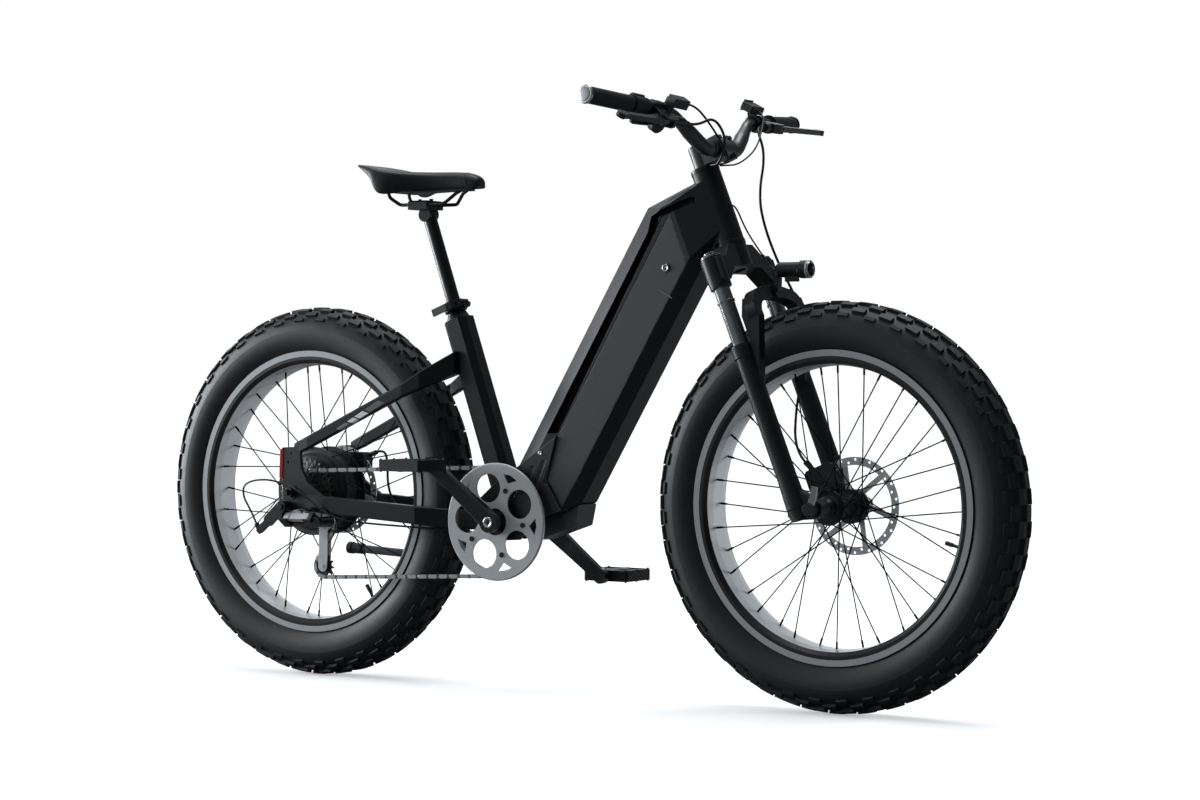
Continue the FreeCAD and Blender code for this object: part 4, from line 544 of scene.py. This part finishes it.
class BIKE_OT_wheels(bpy.types.Operator):
    """Finish tyres, rims, spokes, hubs and brake discs"""

    bl_idname = "bike.wheels"
    bl_label = "Wheels"

    def execute(self, context):
        tint = colours()
        for end, centre in (("front", FRONT_AXLE), ("rear", REAR_AXLE)):
            tyre = Finish(end + "_tyre_rubber", tint.rubber, 0.55, spec=0.5, spread=0.3, drift=60.0,
                          pores=1500.0, relief=0.10, edge=0.0012, edge_light=1.0)
            turned = use_group(tyre.tree, "turned_rings", Centre=centre, Fineness=700.0)
            wide = band(tyre.tree, turned.outputs["Radius"], *TYRE_RIBS, 0.003)
            ribs = math_node(tyre.tree, "SINE",
                             math_node(tyre.tree, "MULTIPLY", turned.outputs["Radius"], 1900.0))
            lines = math_node(tyre.tree, "MULTIPLY", ribs, math_node(tyre.tree, "MULTIPLY", wide, 0.5))
            tyre.height = math_node(tyre.tree, "ADD", tyre.height, lines)
            paint(tyre.done(), end + "_tyre")

            rim = Finish(end + "_rim_alloy", tint.alloy, 0.30, spec=0.6, grain=900.0, relief=0.02)
            turned = use_group(rim.tree, "turned_rings", Centre=centre, Fineness=2600.0)
            wide = band(rim.tree, turned.outputs["Side"], RIM_SIDE, 0.2, 0.0003)
            face = math_node(rim.tree, "MULTIPLY", wide,
                             band(rim.tree, turned.outputs["Radius"], RIM_RING, 0.3, 0.0003))
            cut = mix_colour(rim.tree, turned.outputs["Rings"], [c * 0.8 for c in tint.rim],
                             [c * 1.2 for c in tint.rim])
            rim.zone(face, cut, 0.42, 0.25)
            bed = band(rim.tree, turned.outputs["Side"], -0.1, RIM_BED_HALF, 0.0006)
            rim.zone(bed, (0.54, 0.55, 0.56), 0.36, 0.3)
            valve = band(rim.tree, turned.outputs["Radius"], 0.1, RIM_BED, 0.0002)
            rim.zone(valve, tint.rubber, 0.5, 0.0)
            paint(rim.done(), end + "_rim")

            disc = Finish(end + "_disc_steel", (0.66, 0.67, 0.68), 0.34, metal=0.25, spec=0.5, grain=1800.0,
                          relief=0.02)
            turned = use_group(disc.tree, "turned_rings", Centre=centre, Fineness=4200.0)
            track = band(disc.tree, turned.outputs["Radius"], DISC_TRACK, 0.2, 0.0004)
            cut = mix_colour(disc.tree, turned.outputs["Rings"], (0.62, 0.63, 0.64), (0.8, 0.81, 0.82))
            disc.zone(track, cut, 0.34)
            paint(disc.done(), end + "_disc")
        paint(Finish("spoke_black", (0.003, 0.003, 0.003), 0.55, spec=0.12, grain=900.0, edge=0.0002).done(),
              "front_spokes", "rear_spokes")
        paint(black_alloy("hub_black", 0.34).done(), "front_hub")
        paint(black_alloy("motor_black", 0.42).done(), "motor_shell", "motor_axle")
        return {"FINISHED"}


class BIKE_OT_drive(bpy.types.Operator):
    """Finish the cranks, guard, chain, sprockets, pedals and derailleur"""

    bl_idname = "bike.drive"
    bl_label = "Drive"

    def execute(self, context):
        tint = colours()
        guard = Finish("guard_grey", tint.grey, 0.44, metal=0.2, spec=0.4, spread=0.08, grain=1400.0,
                       relief=0.04)
        turned = use_group(guard.tree, "turned_rings", Centre=CRANK_AXLE, Fineness=1500.0)
        guard.colour = mix_colour(guard.tree,
                                  math_node(guard.tree, "MULTIPLY", turned.outputs["Rings"], 0.25),
                                  guard.colour, [c * 0.55 for c in tint.grey])
        paint(guard.done(), "chainring")
        paint(black_alloy("crank_black", 0.24, edge_light=3.0, coat=0.3).done(), "crank_arms")
        paint(black_alloy("pedal_black", 0.5).done(), "right_pedal", "left_pedal")
        chain = Finish("chain_steel", [c * 0.25 for c in tint.steel], 0.36, metal=0.8, spread=0.3,
                       drift=160.0, grain=900.0)
        off = math_node(chain.tree, "ABSOLUTE",
                        math_node(chain.tree, "SUBTRACT", chain.position()["Y"], CHAIN_Y))
        chain.zone(band(chain.tree, off, 0.00245, 0.02, 0.00005), tint.steel, 0.3, 0.5)
        paint(chain.done(), "chain")
        teeth = Finish("sprocket_steel", [c * 0.5 for c in tint.steel], 0.34, metal=0.9, spread=0.35,
                       drift=160.0, grain=900.0)
        paint(teeth.done(), "cassette")
        link = Finish("link_silver", (0.62, 0.63, 0.64), 0.3, metal=0.5, spread=0.2, grain=1200.0,
                      edge_light=0.6)
        paint(link.done(), "derailleur_cage", "derailleur_outer_link")
        # Painted highlight: a strong light tone is painted on the sharp edges of the links, for glints.
        arm = black_alloy("link_gloss_black", 0.2, edge_light=6.0, coat=0.5)
        paint(arm.done(), "cage_knuckle", "derailleur_inner_link")
        paint(black_alloy("knuckle_black", 0.34).done(), "derailleur_knuckle")
        pulley = Finish("pulley_plastic", tint.cover, 0.5, spec=0.4)
        paint(pulley.done(), "guide_pulley", "tension_pulley")
        self.bolts()
        return {"FINISHED"}

    def bolts(self):
        """Crank bolts with a hex socket, and the bolts that hold the guard and the ring."""
        bright = Finish("bolt_silver", (0.6, 0.61, 0.62), 0.26, metal=1.0, spread=0.1).done()
        dark = Finish("socket_dark", colours().alloy, 0.4).done()
        for side, word in ((-1, "right"), (1, "left")):
            at = Vector(CRANK_AXLE)
            spot = face_of("crank_arms", at + Vector((0.0075, side * 0.3, 0.0)), (0, -side, 0))
            spot = Vector((at.x, spot.y, at.z))
            ring = [(0.0108, -0.001), (0.0108, 0.0012), (0.0098, 0.0018), (0.0062, 0.0018), (0.0058, 0.0006)]
            piece("crank_bolt." + word, turned_mesh("bolt", ring, spot, (0, side, 0)), bright, "cranks")
            hexagon = [(0.0052, -0.001), (0.0052, 0.0011)]
            piece("crank_socket." + word, turned_mesh("hex", hexagon, spot, (0, side, 0), 6), dark, "cranks",
                  smooth=False)
        grey = Finish("guard_bolt", (0.05, 0.052, 0.055), 0.3, metal=0.8).done()
        for k in range(5):
            turn = math.radians(140.0 + 72.0 * k)
            at = Vector(CRANK_AXLE) + Vector((math.cos(turn), 0.0, math.sin(turn))) * BOLT_CIRCLE
            head = [(0.0046, 0.0702), (0.0046, 0.0716), (0.0040, 0.0721), (0.0024, 0.0721), (0.0022, 0.0710)]
            piece("guard_bolt." + str(k + 1), turned_mesh("head", head, at, (0, -1, 0), 24), grey, "cranks")


class BIKE_OT_fork(bpy.types.Operator):
    """Finish the fork, calipers, headlight, axle lever, stand and tail lights"""

    bl_idname = "bike.fork"
    bl_label = "Fork and lights"

    def execute(self, context):
        tint = colours()
        paint(black_alloy("fork_black", 0.36, edge_light=2.0).done(), "fork_crown", "fork_lowers")
        tube = Finish("stanchion_gloss", (0.30, 0.31, 0.32), 0.2, metal=0.9, spec=0.5, grain=2600.0,
                      relief=0.02)
        paint(tube.done(), "stanchions")
        lever = Finish("lever_grey", (0.17, 0.175, 0.18), 0.5, metal=0.0, spread=0.12, grain=1400.0)
        turned = use_group(lever.tree, "turned_rings", Centre=FRONT_AXLE)
        lever.zone(band(lever.tree, turned.outputs["Radius"], -0.1, AXLE_END, 0.0003), tint.alloy, 0.4, 0.0)
        paint(lever.done(), "front_axle")
        paint(black_alloy("caliper_black", 0.36).done(), "front_caliper", "rear_caliper")
        lamp = Finish("lamp_black", tint.alloy, 0.36, spec=0.5)
        x = lamp.position()["X"]
        lens = band(lamp.tree, x, *LAMP_LENS, 0.0001)
        rim = band(lamp.tree, x, LAMP_RIM, 0.6, 0.0002)
        lamp.zone(rim, (0.7, 0.7, 0.72), 0.12, 1.0)
        lamp.zone(lens, (0.55, 0.57, 0.58), 0.08, 0.0)
        paint(lamp.done(), "headlight")
        self.lamp_face()
        stand = Finish("stand_grey", (0.10, 0.105, 0.11), 0.4, metal=0.2, spread=0.2)
        stand.zone(band(stand.tree, stand.position()["X"], -2.0, STAND_FOOT, 0.0004), tint.rubber, 0.5, 0.0)
        paint(stand.done(), "kickstand")
        red = Finish("tail_lens_red", tint.lens, 0.18, spec=0.6, spread=0.35, drift=220.0, coat=0.5)
        paint(red.done(), "tail_lights")
        return {"FINISHED"}

    def lamp_face(self):
        """Bezel and crossed ribs in front of the headlight's lens."""
        bright = Finish("bezel_silver", (0.6, 0.61, 0.62), 0.16, metal=1.0, spread=0.1).done()
        dark = Finish("rib_black", colours().alloy, 0.3).done()
        at = Vector(LAMP_FACE)
        ring = [(0.0150, 0.0), (0.0150, 0.0030), (0.0142, 0.0036), (0.0126, 0.0030), (0.0122, 0.0)]
        piece("lamp_bezel", turned_mesh("bezel", ring, at, (1, 0, 0)), bright, "fork_slider")
        for k, turn in enumerate((math.radians(45), math.radians(-45))):
            way = Vector((0.0, math.cos(turn), math.sin(turn)))
            piece("lamp_rib." + str(k + 1),
                  box_mesh("rib", (at + Vector((0.0022, 0, 0)), way, (1, 0, 0), (0.0246, 0.0016, 0.0026))),
                  dark, "fork_slider", smooth=False)


class BIKE_OT_cockpit(bpy.types.Operator):
    """Finish the bar, stem, grips, levers, shifter and display"""

    bl_idname = "bike.cockpit"
    bl_label = "Cockpit"

    def execute(self, context):
        tint = colours()
        bar = Finish("bar_black", [c * 1.6 for c in tint.alloy], 0.40, spec=0.9, spread=0.3, grain=1500.0,
                     relief=0.05, coat=0.2)
        paint(bar.done(), "handlebar", "stem")
        grip = Finish("grip_rubber", tint.rubber, 0.62, spec=0.3, pores=900.0, relief=0.3)
        y = math_node(grip.tree, "ABSOLUTE", grip.position()["Y"])
        ribs = math_node(grip.tree, "SINE", math_node(grip.tree, "MULTIPLY", y, 1500.0))
        grip.height = math_node(grip.tree, "ADD", grip.height, math_node(grip.tree, "MULTIPLY", ribs, 0.35))
        paint(grip.done(), "grips", "throttle")
        self.caps()
        self.screen()
        paint(black_alloy("bracket_black", 0.36).done(), "brake_brackets")
        lever = Finish("lever_black", tint.alloy, 0.28, spec=0.55, grain=1400.0, edge_light=1.5)
        paint(lever.done(), "right_brake_lever", "left_brake_lever")
        pod = Finish("pod_plastic", tint.cover, 0.5, spec=0.4, pores=2400.0, relief=0.1)
        paint(pod.done(), "shifter_body", "shift_lever", "display")
        return {"FINISHED"}

    def caps(self):
        """A silver ring and a grey plug on the end of each grip."""
        bright = Finish("cap_silver", (0.6, 0.61, 0.62), 0.24, metal=1.0, spread=0.08).done()
        grey = Finish("cap_grey", (0.30, 0.31, 0.32), 0.38, metal=0.5, spread=0.08).done()
        for side, word in ((-1, "right"), (1, "left")):
            ends = [v.co for v in NODES["grips"].data.vertices if v.co.y * side > 0]
            far = max(v.y * side for v in ends)
            tip = [v for v in ends if v.y * side > far - 0.012]
            middle = sum(tip, Vector()) / len(tip)
            near = [v for v in ends if v.y * side < far - 0.05]
            root = sum(near, Vector()) / len(near)
            way = (middle - root).normalized()
            top = middle + way * max((v - middle).dot(way) for v in tip)
            ring = [(0.0160, -0.0048), (0.0171, -0.0040), (0.0171, -0.0016), (0.0162, -0.0004),
                    (0.0150, 0.0002), (0.0136, 0.0002)]
            piece("grip_cap_ring." + word, turned_mesh("ring", ring, top, way), bright, "steering")
            plug = [(0.0132, -0.001), (0.0130, 0.0004), (0.0110, 0.0009), (0.0060, 0.0012), (0.0010, 0.0013)]
            piece("grip_cap_plug." + word, turned_mesh("plug", plug, top, way), grey, "steering")

    def screen(self):
        """Glass on the rider's side of the display."""
        ahead = Vector(DISPLAY_AHEAD).normalized()
        up = Vector(DISPLAY_UP).normalized()
        glass = Finish("screen_glass", (0.004, 0.005, 0.007), 0.08, spec=0.6, relief=0.0).done()
        spot = face_of("display", Vector(DISPLAY_AT) - ahead * 0.2, ahead)
        piece("display_glass", box_mesh("glass", (spot, (0, 1, 0), up, (0.034, 0.022, 0.0008))), glass,
              "steering", smooth=False)


# Routes of the cords, the same as in the CAD model, in metres
ROUTES = {
    "right_brake_hose": ("hose", "steering", None, [
        (0.3542, -0.126, 1.0699), (0.3579, -0.1013, 1.0681), (0.378, -0.074, 1.086), (0.39, -0.048, 1.044),
        (0.3672, -0.0385, 1.0025), (0.345, -0.0232, 1.0014), (0.3354, -0.0168, 1.0016)]),
    "shift_cable": ("cable", "steering", None, [
        (0.3551, -0.1283, 1.1045), (0.3578, -0.1106, 1.1032), (0.364, -0.082, 1.084), (0.38, -0.046, 1.036),
        (0.3757, -0.0132, 1.006), (0.3512, -0.0082, 1.0039), (0.3399, -0.0059, 1.0034)]),
    "display_wire": ("wire", "steering", None, [
        (0.3303, 0.167, 1.1159), (0.3427, 0.167, 1.1093), (0.372, 0.112, 1.08), (0.388, 0.062, 1.034),
        (0.3719, 0.0258, 1.0044), (0.3488, 0.0161, 1.0029), (0.3382, 0.0116, 1.0027)]),
    "lamp_wire": ("wire", "steering", "fork_slider", [
        (0.3702, 0.0, 0.9266), (0.3782, 0.0, 0.9299), (0.402, 0.0, 0.88), (0.434, 0.0, 0.838),
        (0.458, 0.0, 0.806), (0.4697, 0.0, 0.806)]),
    "front_brake_line": ("hose", "steering", "fork_slider", [
        (0.3593, 0.126, 1.081), (0.3625, 0.1043, 1.0794), (0.39, 0.092, 1.028), (0.381, 0.082, 0.95),
        (0.386, 0.096, 0.89), (0.408, 0.114, 0.818), (0.446, 0.118, 0.752), (0.463, 0.118, 0.69),
        (0.458, 0.116, 0.62), (0.45, 0.104, 0.548), (0.4659, 0.072, 0.4753), (0.4913, 0.066, 0.4527)]),
    "rear_shift_cable": ("cable", "frame", None, [
        (-0.072, -0.027, 0.2965), (-0.15, -0.029, 0.3), (-0.232, -0.046, 0.306), (-0.3, -0.076, 0.312),
        (-0.43, -0.08, 0.316), (-0.49, -0.1, 0.325), (-0.53, -0.105, 0.35), (-0.575, -0.116, 0.384),
        (-0.64, -0.124, 0.402), (-0.704, -0.121, 0.392), (-0.712, -0.115, 0.364), (-0.6942, -0.1125, 0.3373),
        (-0.6782, -0.1125, 0.3096)]),
    "rear_brake_hose": ("hose", "frame", None, [
        (-0.072, 0.027, 0.2965), (-0.15, 0.029, 0.3), (-0.232, 0.046, 0.306), (-0.3, 0.078, 0.312),
        (-0.38, 0.07, 0.319), (-0.466, 0.0725, 0.34), (-0.488, 0.074, 0.385), (-0.488, 0.0755, 0.43),
        (-0.4967, 0.076, 0.4588), (-0.5177, 0.076, 0.4521)]),
}


class BIKE_OT_cords(bpy.types.Operator):
    """Lay the brake hoses, shift cable and wires on their routes"""

    bl_idname = "bike.cords"
    bl_label = "Cords"

    def as_mesh(self, line):
        """The tube of a curve as a mesh, for a cord that runs between two bodies."""
        name = line.name
        tube = bpy.data.meshes.new_from_object(line.evaluated_get(bpy.context.evaluated_depsgraph_get()))
        bpy.data.objects.remove(line)
        return placed(name, tube)

    def execute(self, context):
        skin = Finish("cord_black", colours().rubber, 0.42, spec=0.45, grain=2600.0, relief=0.05,
                      edge=0.0002).done()
        for name, (kind, body, other, points) in ROUTES.items():
            curve = bpy.data.curves.new(name, "CURVE")
            curve.dimensions = "3D"
            curve.bevel_depth = getattr(sizes(), kind) / 2
            curve.bevel_resolution = 4
            curve.resolution_u = 16
            curve.use_fill_caps = True
            line = curve.splines.new("NURBS")
            line.points.add(len(points) - 1)
            for point, at in zip(line.points, points):
                point.co = (*at, 1.0)
            line.order_u = 3
            line.use_endpoint_u = True
            curve.materials.append(skin)
            made = placed(name, curve)
            if other:
                made = self.as_mesh(made)
                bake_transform(made)
            else:
                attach(made, body)
            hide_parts("front_brake_hose" if name == "front_brake_line" else "control_cables")
        return {"FINISHED"}


# Saddle sections from nose to tail, in mm: x, half width, lower edge, shoulder, crown, dish of the top
SADDLE = [
    (-198.5, 13, 979, 990, 995, 0), (-202, 16, 978, 992, 1000, 0), (-211, 19, 977.5, 995, 1005, 0),
    (-227, 22, 977.5, 998, 1009, 0), (-252, 24, 977.5, 1001, 1011.5, 0), (-288, 30, 978, 1003, 1013, 1.0),
    (-325, 42, 976.5, 1006, 1015, 2.4), (-345, 52, 973.5, 1008, 1016, 3.2),
    (-365, 64, 969, 1010, 1017.5, 3.8), (-384, 75, 964.8, 1013, 1019, 4.0),
    (-404, 78, 967, 1017, 1021, 4.0), (-413, 77.5, 981, 1019.5, 1022, 3.6),
    (-420, 75, 998, 1022, 1023.5, 3.0), (-436, 69, 1010, 1026, 1026.5, 2.0),
    (-462, 60, 1026, 1030.5, 1031, 0.8), (-474, 46, 1030, 1032, 1033, 0),
]


class BIKE_OT_saddle(bpy.types.Operator):
    """Shape the saddle cover with its seam, and finish post and rails"""

    bl_idname = "bike.saddle"
    bl_label = "Saddle"

    def ring(self, w, low, edge, top, dish):
        """Half a section from the underside's middle up over the side to the crown."""
        under = max(low, 981.0)
        rise = edge - low
        span = top - edge
        return [(0.0, under), (0.5 * w, under), (0.76 * w, max(low, under - 4)), (0.9 * w, low),
                (0.975 * w, low + 0.16 * rise), (w, low + 0.42 * rise), (0.985 * w, low + 0.7 * rise),
                (0.955 * w, edge - 0.12 * rise), (0.925 * w, edge - 0.02 * rise),
                (0.885 * w, edge + 0.16 * span), (0.72 * w, edge + 0.6 * span),
                (0.46 * w, edge + 0.9 * span - 0.4 * dish), (0.2 * w, top - 0.85 * dish), (0.0, top - dish)]

    def execute(self, context):
        build = bmesh.new()
        rings = []
        for x, w, low, edge, top, dish in SADDLE:
            half = self.ring(w, low, edge, top, dish)
            loop = half + [(-y, z) for y, z in half[-2:0:-1]]
            rings.append([build.verts.new((x / 1000, y / 1000, z / 1000)) for y, z in loop])
        count = len(rings[0])
        for a, b in zip(rings, rings[1:]):
            for k in range(count):
                build.faces.new((a[k], a[(k + 1) % count], b[(k + 1) % count], b[k]))
        build.faces.new(rings[0][::-1])
        build.faces.new(rings[-1])
        bmesh.ops.recalc_face_normals(build, faces=build.faces)
        mesh = bpy.data.meshes.new("saddle_cover")
        build.to_mesh(mesh)
        build.free()
        skin = Finish("saddle_grained", colours().saddle, 0.46, spec=0.4, spread=0.3, drift=40.0,
                      pores=1300.0, relief=0.22, edge=0.0002)
        cover = piece("saddle_cover", mesh, skin.done(), "saddle")
        smooth = cover.modifiers.new("round", "SUBSURF")
        smooth.levels = smooth.render_levels = 2
        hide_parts("saddle_pad")
        self.seam(cover)
        paint(black_alloy("post_black", 0.3).done(), "seatpost")
        paint(Finish("saddle_shell", colours().cover, 0.5, spec=0.4).done(), "saddle_base")
        grey = Finish("collar_lever_grey", colours().alloy, 0.36, spec=0.5, spread=0.12)
        paint(grey.done(), "seat_lever")
        return {"FINISHED"}

    def seam(self, cover):
        """A corded seam over the nose, on the smoothed cover."""
        cut = bmesh.new()
        cut.from_object(cover, bpy.context.evaluated_depsgraph_get())
        found = bmesh.ops.bisect_plane(cut, geom=cut.verts[:] + cut.edges[:] + cut.faces[:],
                                       plane_co=SEAM_AT, plane_no=SEAM_NORMAL)["geom_cut"]
        loop = [v.co.copy() for v in found if isinstance(v, bmesh.types.BMVert)]
        cut.free()
        middle = sum(loop, Vector()) / len(loop)
        loop = [v for v in loop if v.z > middle.z - 0.012]
        loop.sort(key=lambda v: math.atan2(v.z - middle.z + 0.02, v.y))
        curve = bpy.data.curves.new("saddle_seam", "CURVE")
        curve.dimensions = "3D"
        curve.bevel_depth = 0.0007
        curve.bevel_resolution = 2
        line = curve.splines.new("POLY")
        line.points.add(len(loop) - 1)
        for point, at in zip(line.points, loop):
            point.co = (*at, 1.0)
        curve.materials.append(Finish("seam_black", colours().saddle, 0.35, spec=0.5, edge=0.0001).done())
        made = placed("saddle_seam", curve)
        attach(made, "saddle")


class BIKE_OT_stage(bpy.types.Operator):
    """Set the floor, the studio light and the camera"""

    bl_idname = "bike.stage"
    bl_label = "Stage"

    def camera(self):
        turn, pitch, roll = CAMERA_TURN, CAMERA_PITCH, CAMERA_ROLL
        ahead = Vector((-math.sin(turn) * math.cos(pitch), math.cos(turn) * math.cos(pitch),
                        -math.sin(pitch)))
        side = Vector((math.cos(turn), math.sin(turn), 0.0))
        up = side.cross(ahead)
        right = math.cos(roll) * side + math.sin(roll) * up
        top = -math.sin(roll) * side + math.cos(roll) * up
        lens = bpy.data.cameras.new("camera")
        lens.sensor_fit = "HORIZONTAL"
        lens.sensor_width = 36.0
        lens.lens = CAMERA_LENS
        made = placed("camera", lens)
        turned = Matrix((right, top, -ahead)).transposed().to_4x4()
        made.matrix_world = Matrix.Translation(CAMERA_AT) @ turned
        bpy.context.scene.camera = made

    def seen(self, tree):
        """A value of 1 for rays that the camera sees, also through clear pieces."""
        path = put(tree, "ShaderNodeLightPath")
        return math_node(tree, "MAXIMUM", path.outputs["Is Camera Ray"], path.outputs["Is Transmission Ray"])

    def world(self):
        world = bpy.data.worlds.new("studio")
        bpy.context.scene.world = world
        world.use_nodes = True
        tree = world.node_tree
        back = tree.nodes["Background"]
        seen = self.seen(tree)
        where = put(tree, "ShaderNodeTexCoord")
        lobes = []
        for way, start, end, low, high in (((-0.85, -0.1, 0.5), -0.4, 0.9, 0.05, 0.5),
                                           ((-0.62, 0.78, 0.05), 0.84, 0.97, 0.0, 1.1)):
            toward = put(tree, "ShaderNodeVectorMath", operation="DOT_PRODUCT")
            tree.links.new(where.outputs["Generated"], toward.inputs[0])
            toward.inputs[1].default_value = Vector(way).normalized()
            fall = put(tree, "ShaderNodeMapRange", interpolation_type="SMOOTHSTEP")
            tree.links.new(toward.outputs["Value"], fall.inputs["Value"])
            for key, value in (("From Min", start), ("From Max", end), ("To Min", low), ("To Max", high)):
                fall.inputs[key].default_value = value
            lobes.append(fall.outputs[0])
        tree.links.new(mix_colour(tree, seen, (0.90, 0.96, 1.0), (1.0, 1.0, 1.0)), back.inputs["Color"])
        tree.links.new(mix_value(tree, seen, math_node(tree, "ADD", *lobes), 1.0), back.inputs["Strength"])

    def floor(self):
        mesh = bpy.data.meshes.new("floor")
        s = FLOOR_HALF
        mesh.from_pydata([(-s, -s, 0), (s, -s, 0), (s, s, 0), (-s, s, 0)], [], [(0, 1, 2, 3)])
        made = placed("floor", mesh)
        made.location.z = -0.0005
        card = bpy.data.materials.new("floor_white")
        card.use_nodes = True
        tree = card.node_tree
        shader = tree.nodes["Principled BSDF"]
        tone = use_group(tree, "colour_drift", Dark=(0.79, 0.79, 0.79), Light=(0.81, 0.81, 0.81), Scale=3.0)
        shader.inputs["Roughness"].default_value = 0.9
        shader.inputs["Specular IOR Level"].default_value = 0.0
        seen = self.seen(tree)
        tree.links.new(mix_colour(tree, seen, (0.14, 0.14, 0.14), tone.outputs["Color"]),
                       shader.inputs["Base Color"])
        shader.inputs["Emission Color"].default_value = (1.0, 1.0, 1.0, 1.0)
        tree.links.new(math_node(tree, "MULTIPLY", seen, 0.37), shader.inputs["Emission Strength"])
        mesh.materials.append(card)

    def lamp(self, name, kind, power, at, to, size=None, angle=None):
        light = bpy.data.lights.new(name, kind)
        light.energy = power
        light.color = (0.91, 0.96, 1.0)
        if kind == "AREA":
            light.shape = "RECTANGLE"
            light.size, light.size_y = size
        if angle:
            light.angle = math.radians(angle)
        made = placed(name, light)
        made.location = at
        made.rotation_euler = (Vector(to) - Vector(at)).to_track_quat("-Z", "Y").to_euler()
        return made

    def execute(self, context):
        bpy.context.scene.view_settings.view_transform = "Standard"
        self.camera()
        self.world()
        self.floor()
        self.lamp("sky_sun", "SUN", 1.9, (-0.6, 0.8, 5.0), (0.0, 0.0, 0.0), angle=40)
        self.lamp("left_side", "AREA", 90.0, (-4.4, -2.0, 1.5), (0.0, 0.0, 0.5), (2.0, 2.0))
        self.lamp("left_edge", "AREA", 210.0, (-5.0, -0.5, 0.9), (0.0, 0.0, 0.5), (1.6, 2.2))
        fill = self.lamp("right_back", "AREA", 300.0, (3.4, 3.6, 0.8), (0.0, 0.0, 0.4), (2.4, 2.0))
        fill.visible_glossy = False
        return {"FINISHED"}


STEPS = (BIKE_OT_stage, BIKE_OT_cords, BIKE_OT_frame, BIKE_OT_wheels, BIKE_OT_drive, BIKE_OT_fork,
         BIKE_OT_cockpit, BIKE_OT_saddle)


class BIKE_PT_looks(bpy.types.Panel):
    """Lists the steps that dress the bike"""

    bl_idname = "BIKE_PT_looks"
    bl_label = "Fat Tire Bike"
    bl_space_type = "VIEW_3D"
    bl_region_type = "UI"
    bl_category = "Bike"

    def draw(self, context):
        for group in (context.scene.bike_colours, context.scene.bike_sizes):
            box = self.layout.box()
            for key in group.__annotations__:
                box.prop(group, key)
        for step in STEPS:
            self.layout.operator(step.bl_idname)


CLASSES = (BikeColours, BikeSizes, *STEPS, BIKE_PT_looks)


def register():
    for one in CLASSES:
        bpy.utils.register_class(one)
    bpy.types.Scene.bike_colours = PointerProperty(type=BikeColours)
    bpy.types.Scene.bike_sizes = PointerProperty(type=BikeSizes)


def unregister():
    del bpy.types.Scene.bike_sizes
    del bpy.types.Scene.bike_colours
    for one in reversed(CLASSES):
        bpy.utils.unregister_class(one)


def main():
    register()
    make_groups()
    for step in STEPS:
        group, name = step.bl_idname.split(".")
        getattr(getattr(bpy.ops, group), name)()


if __name__ == "__main__":
    main()
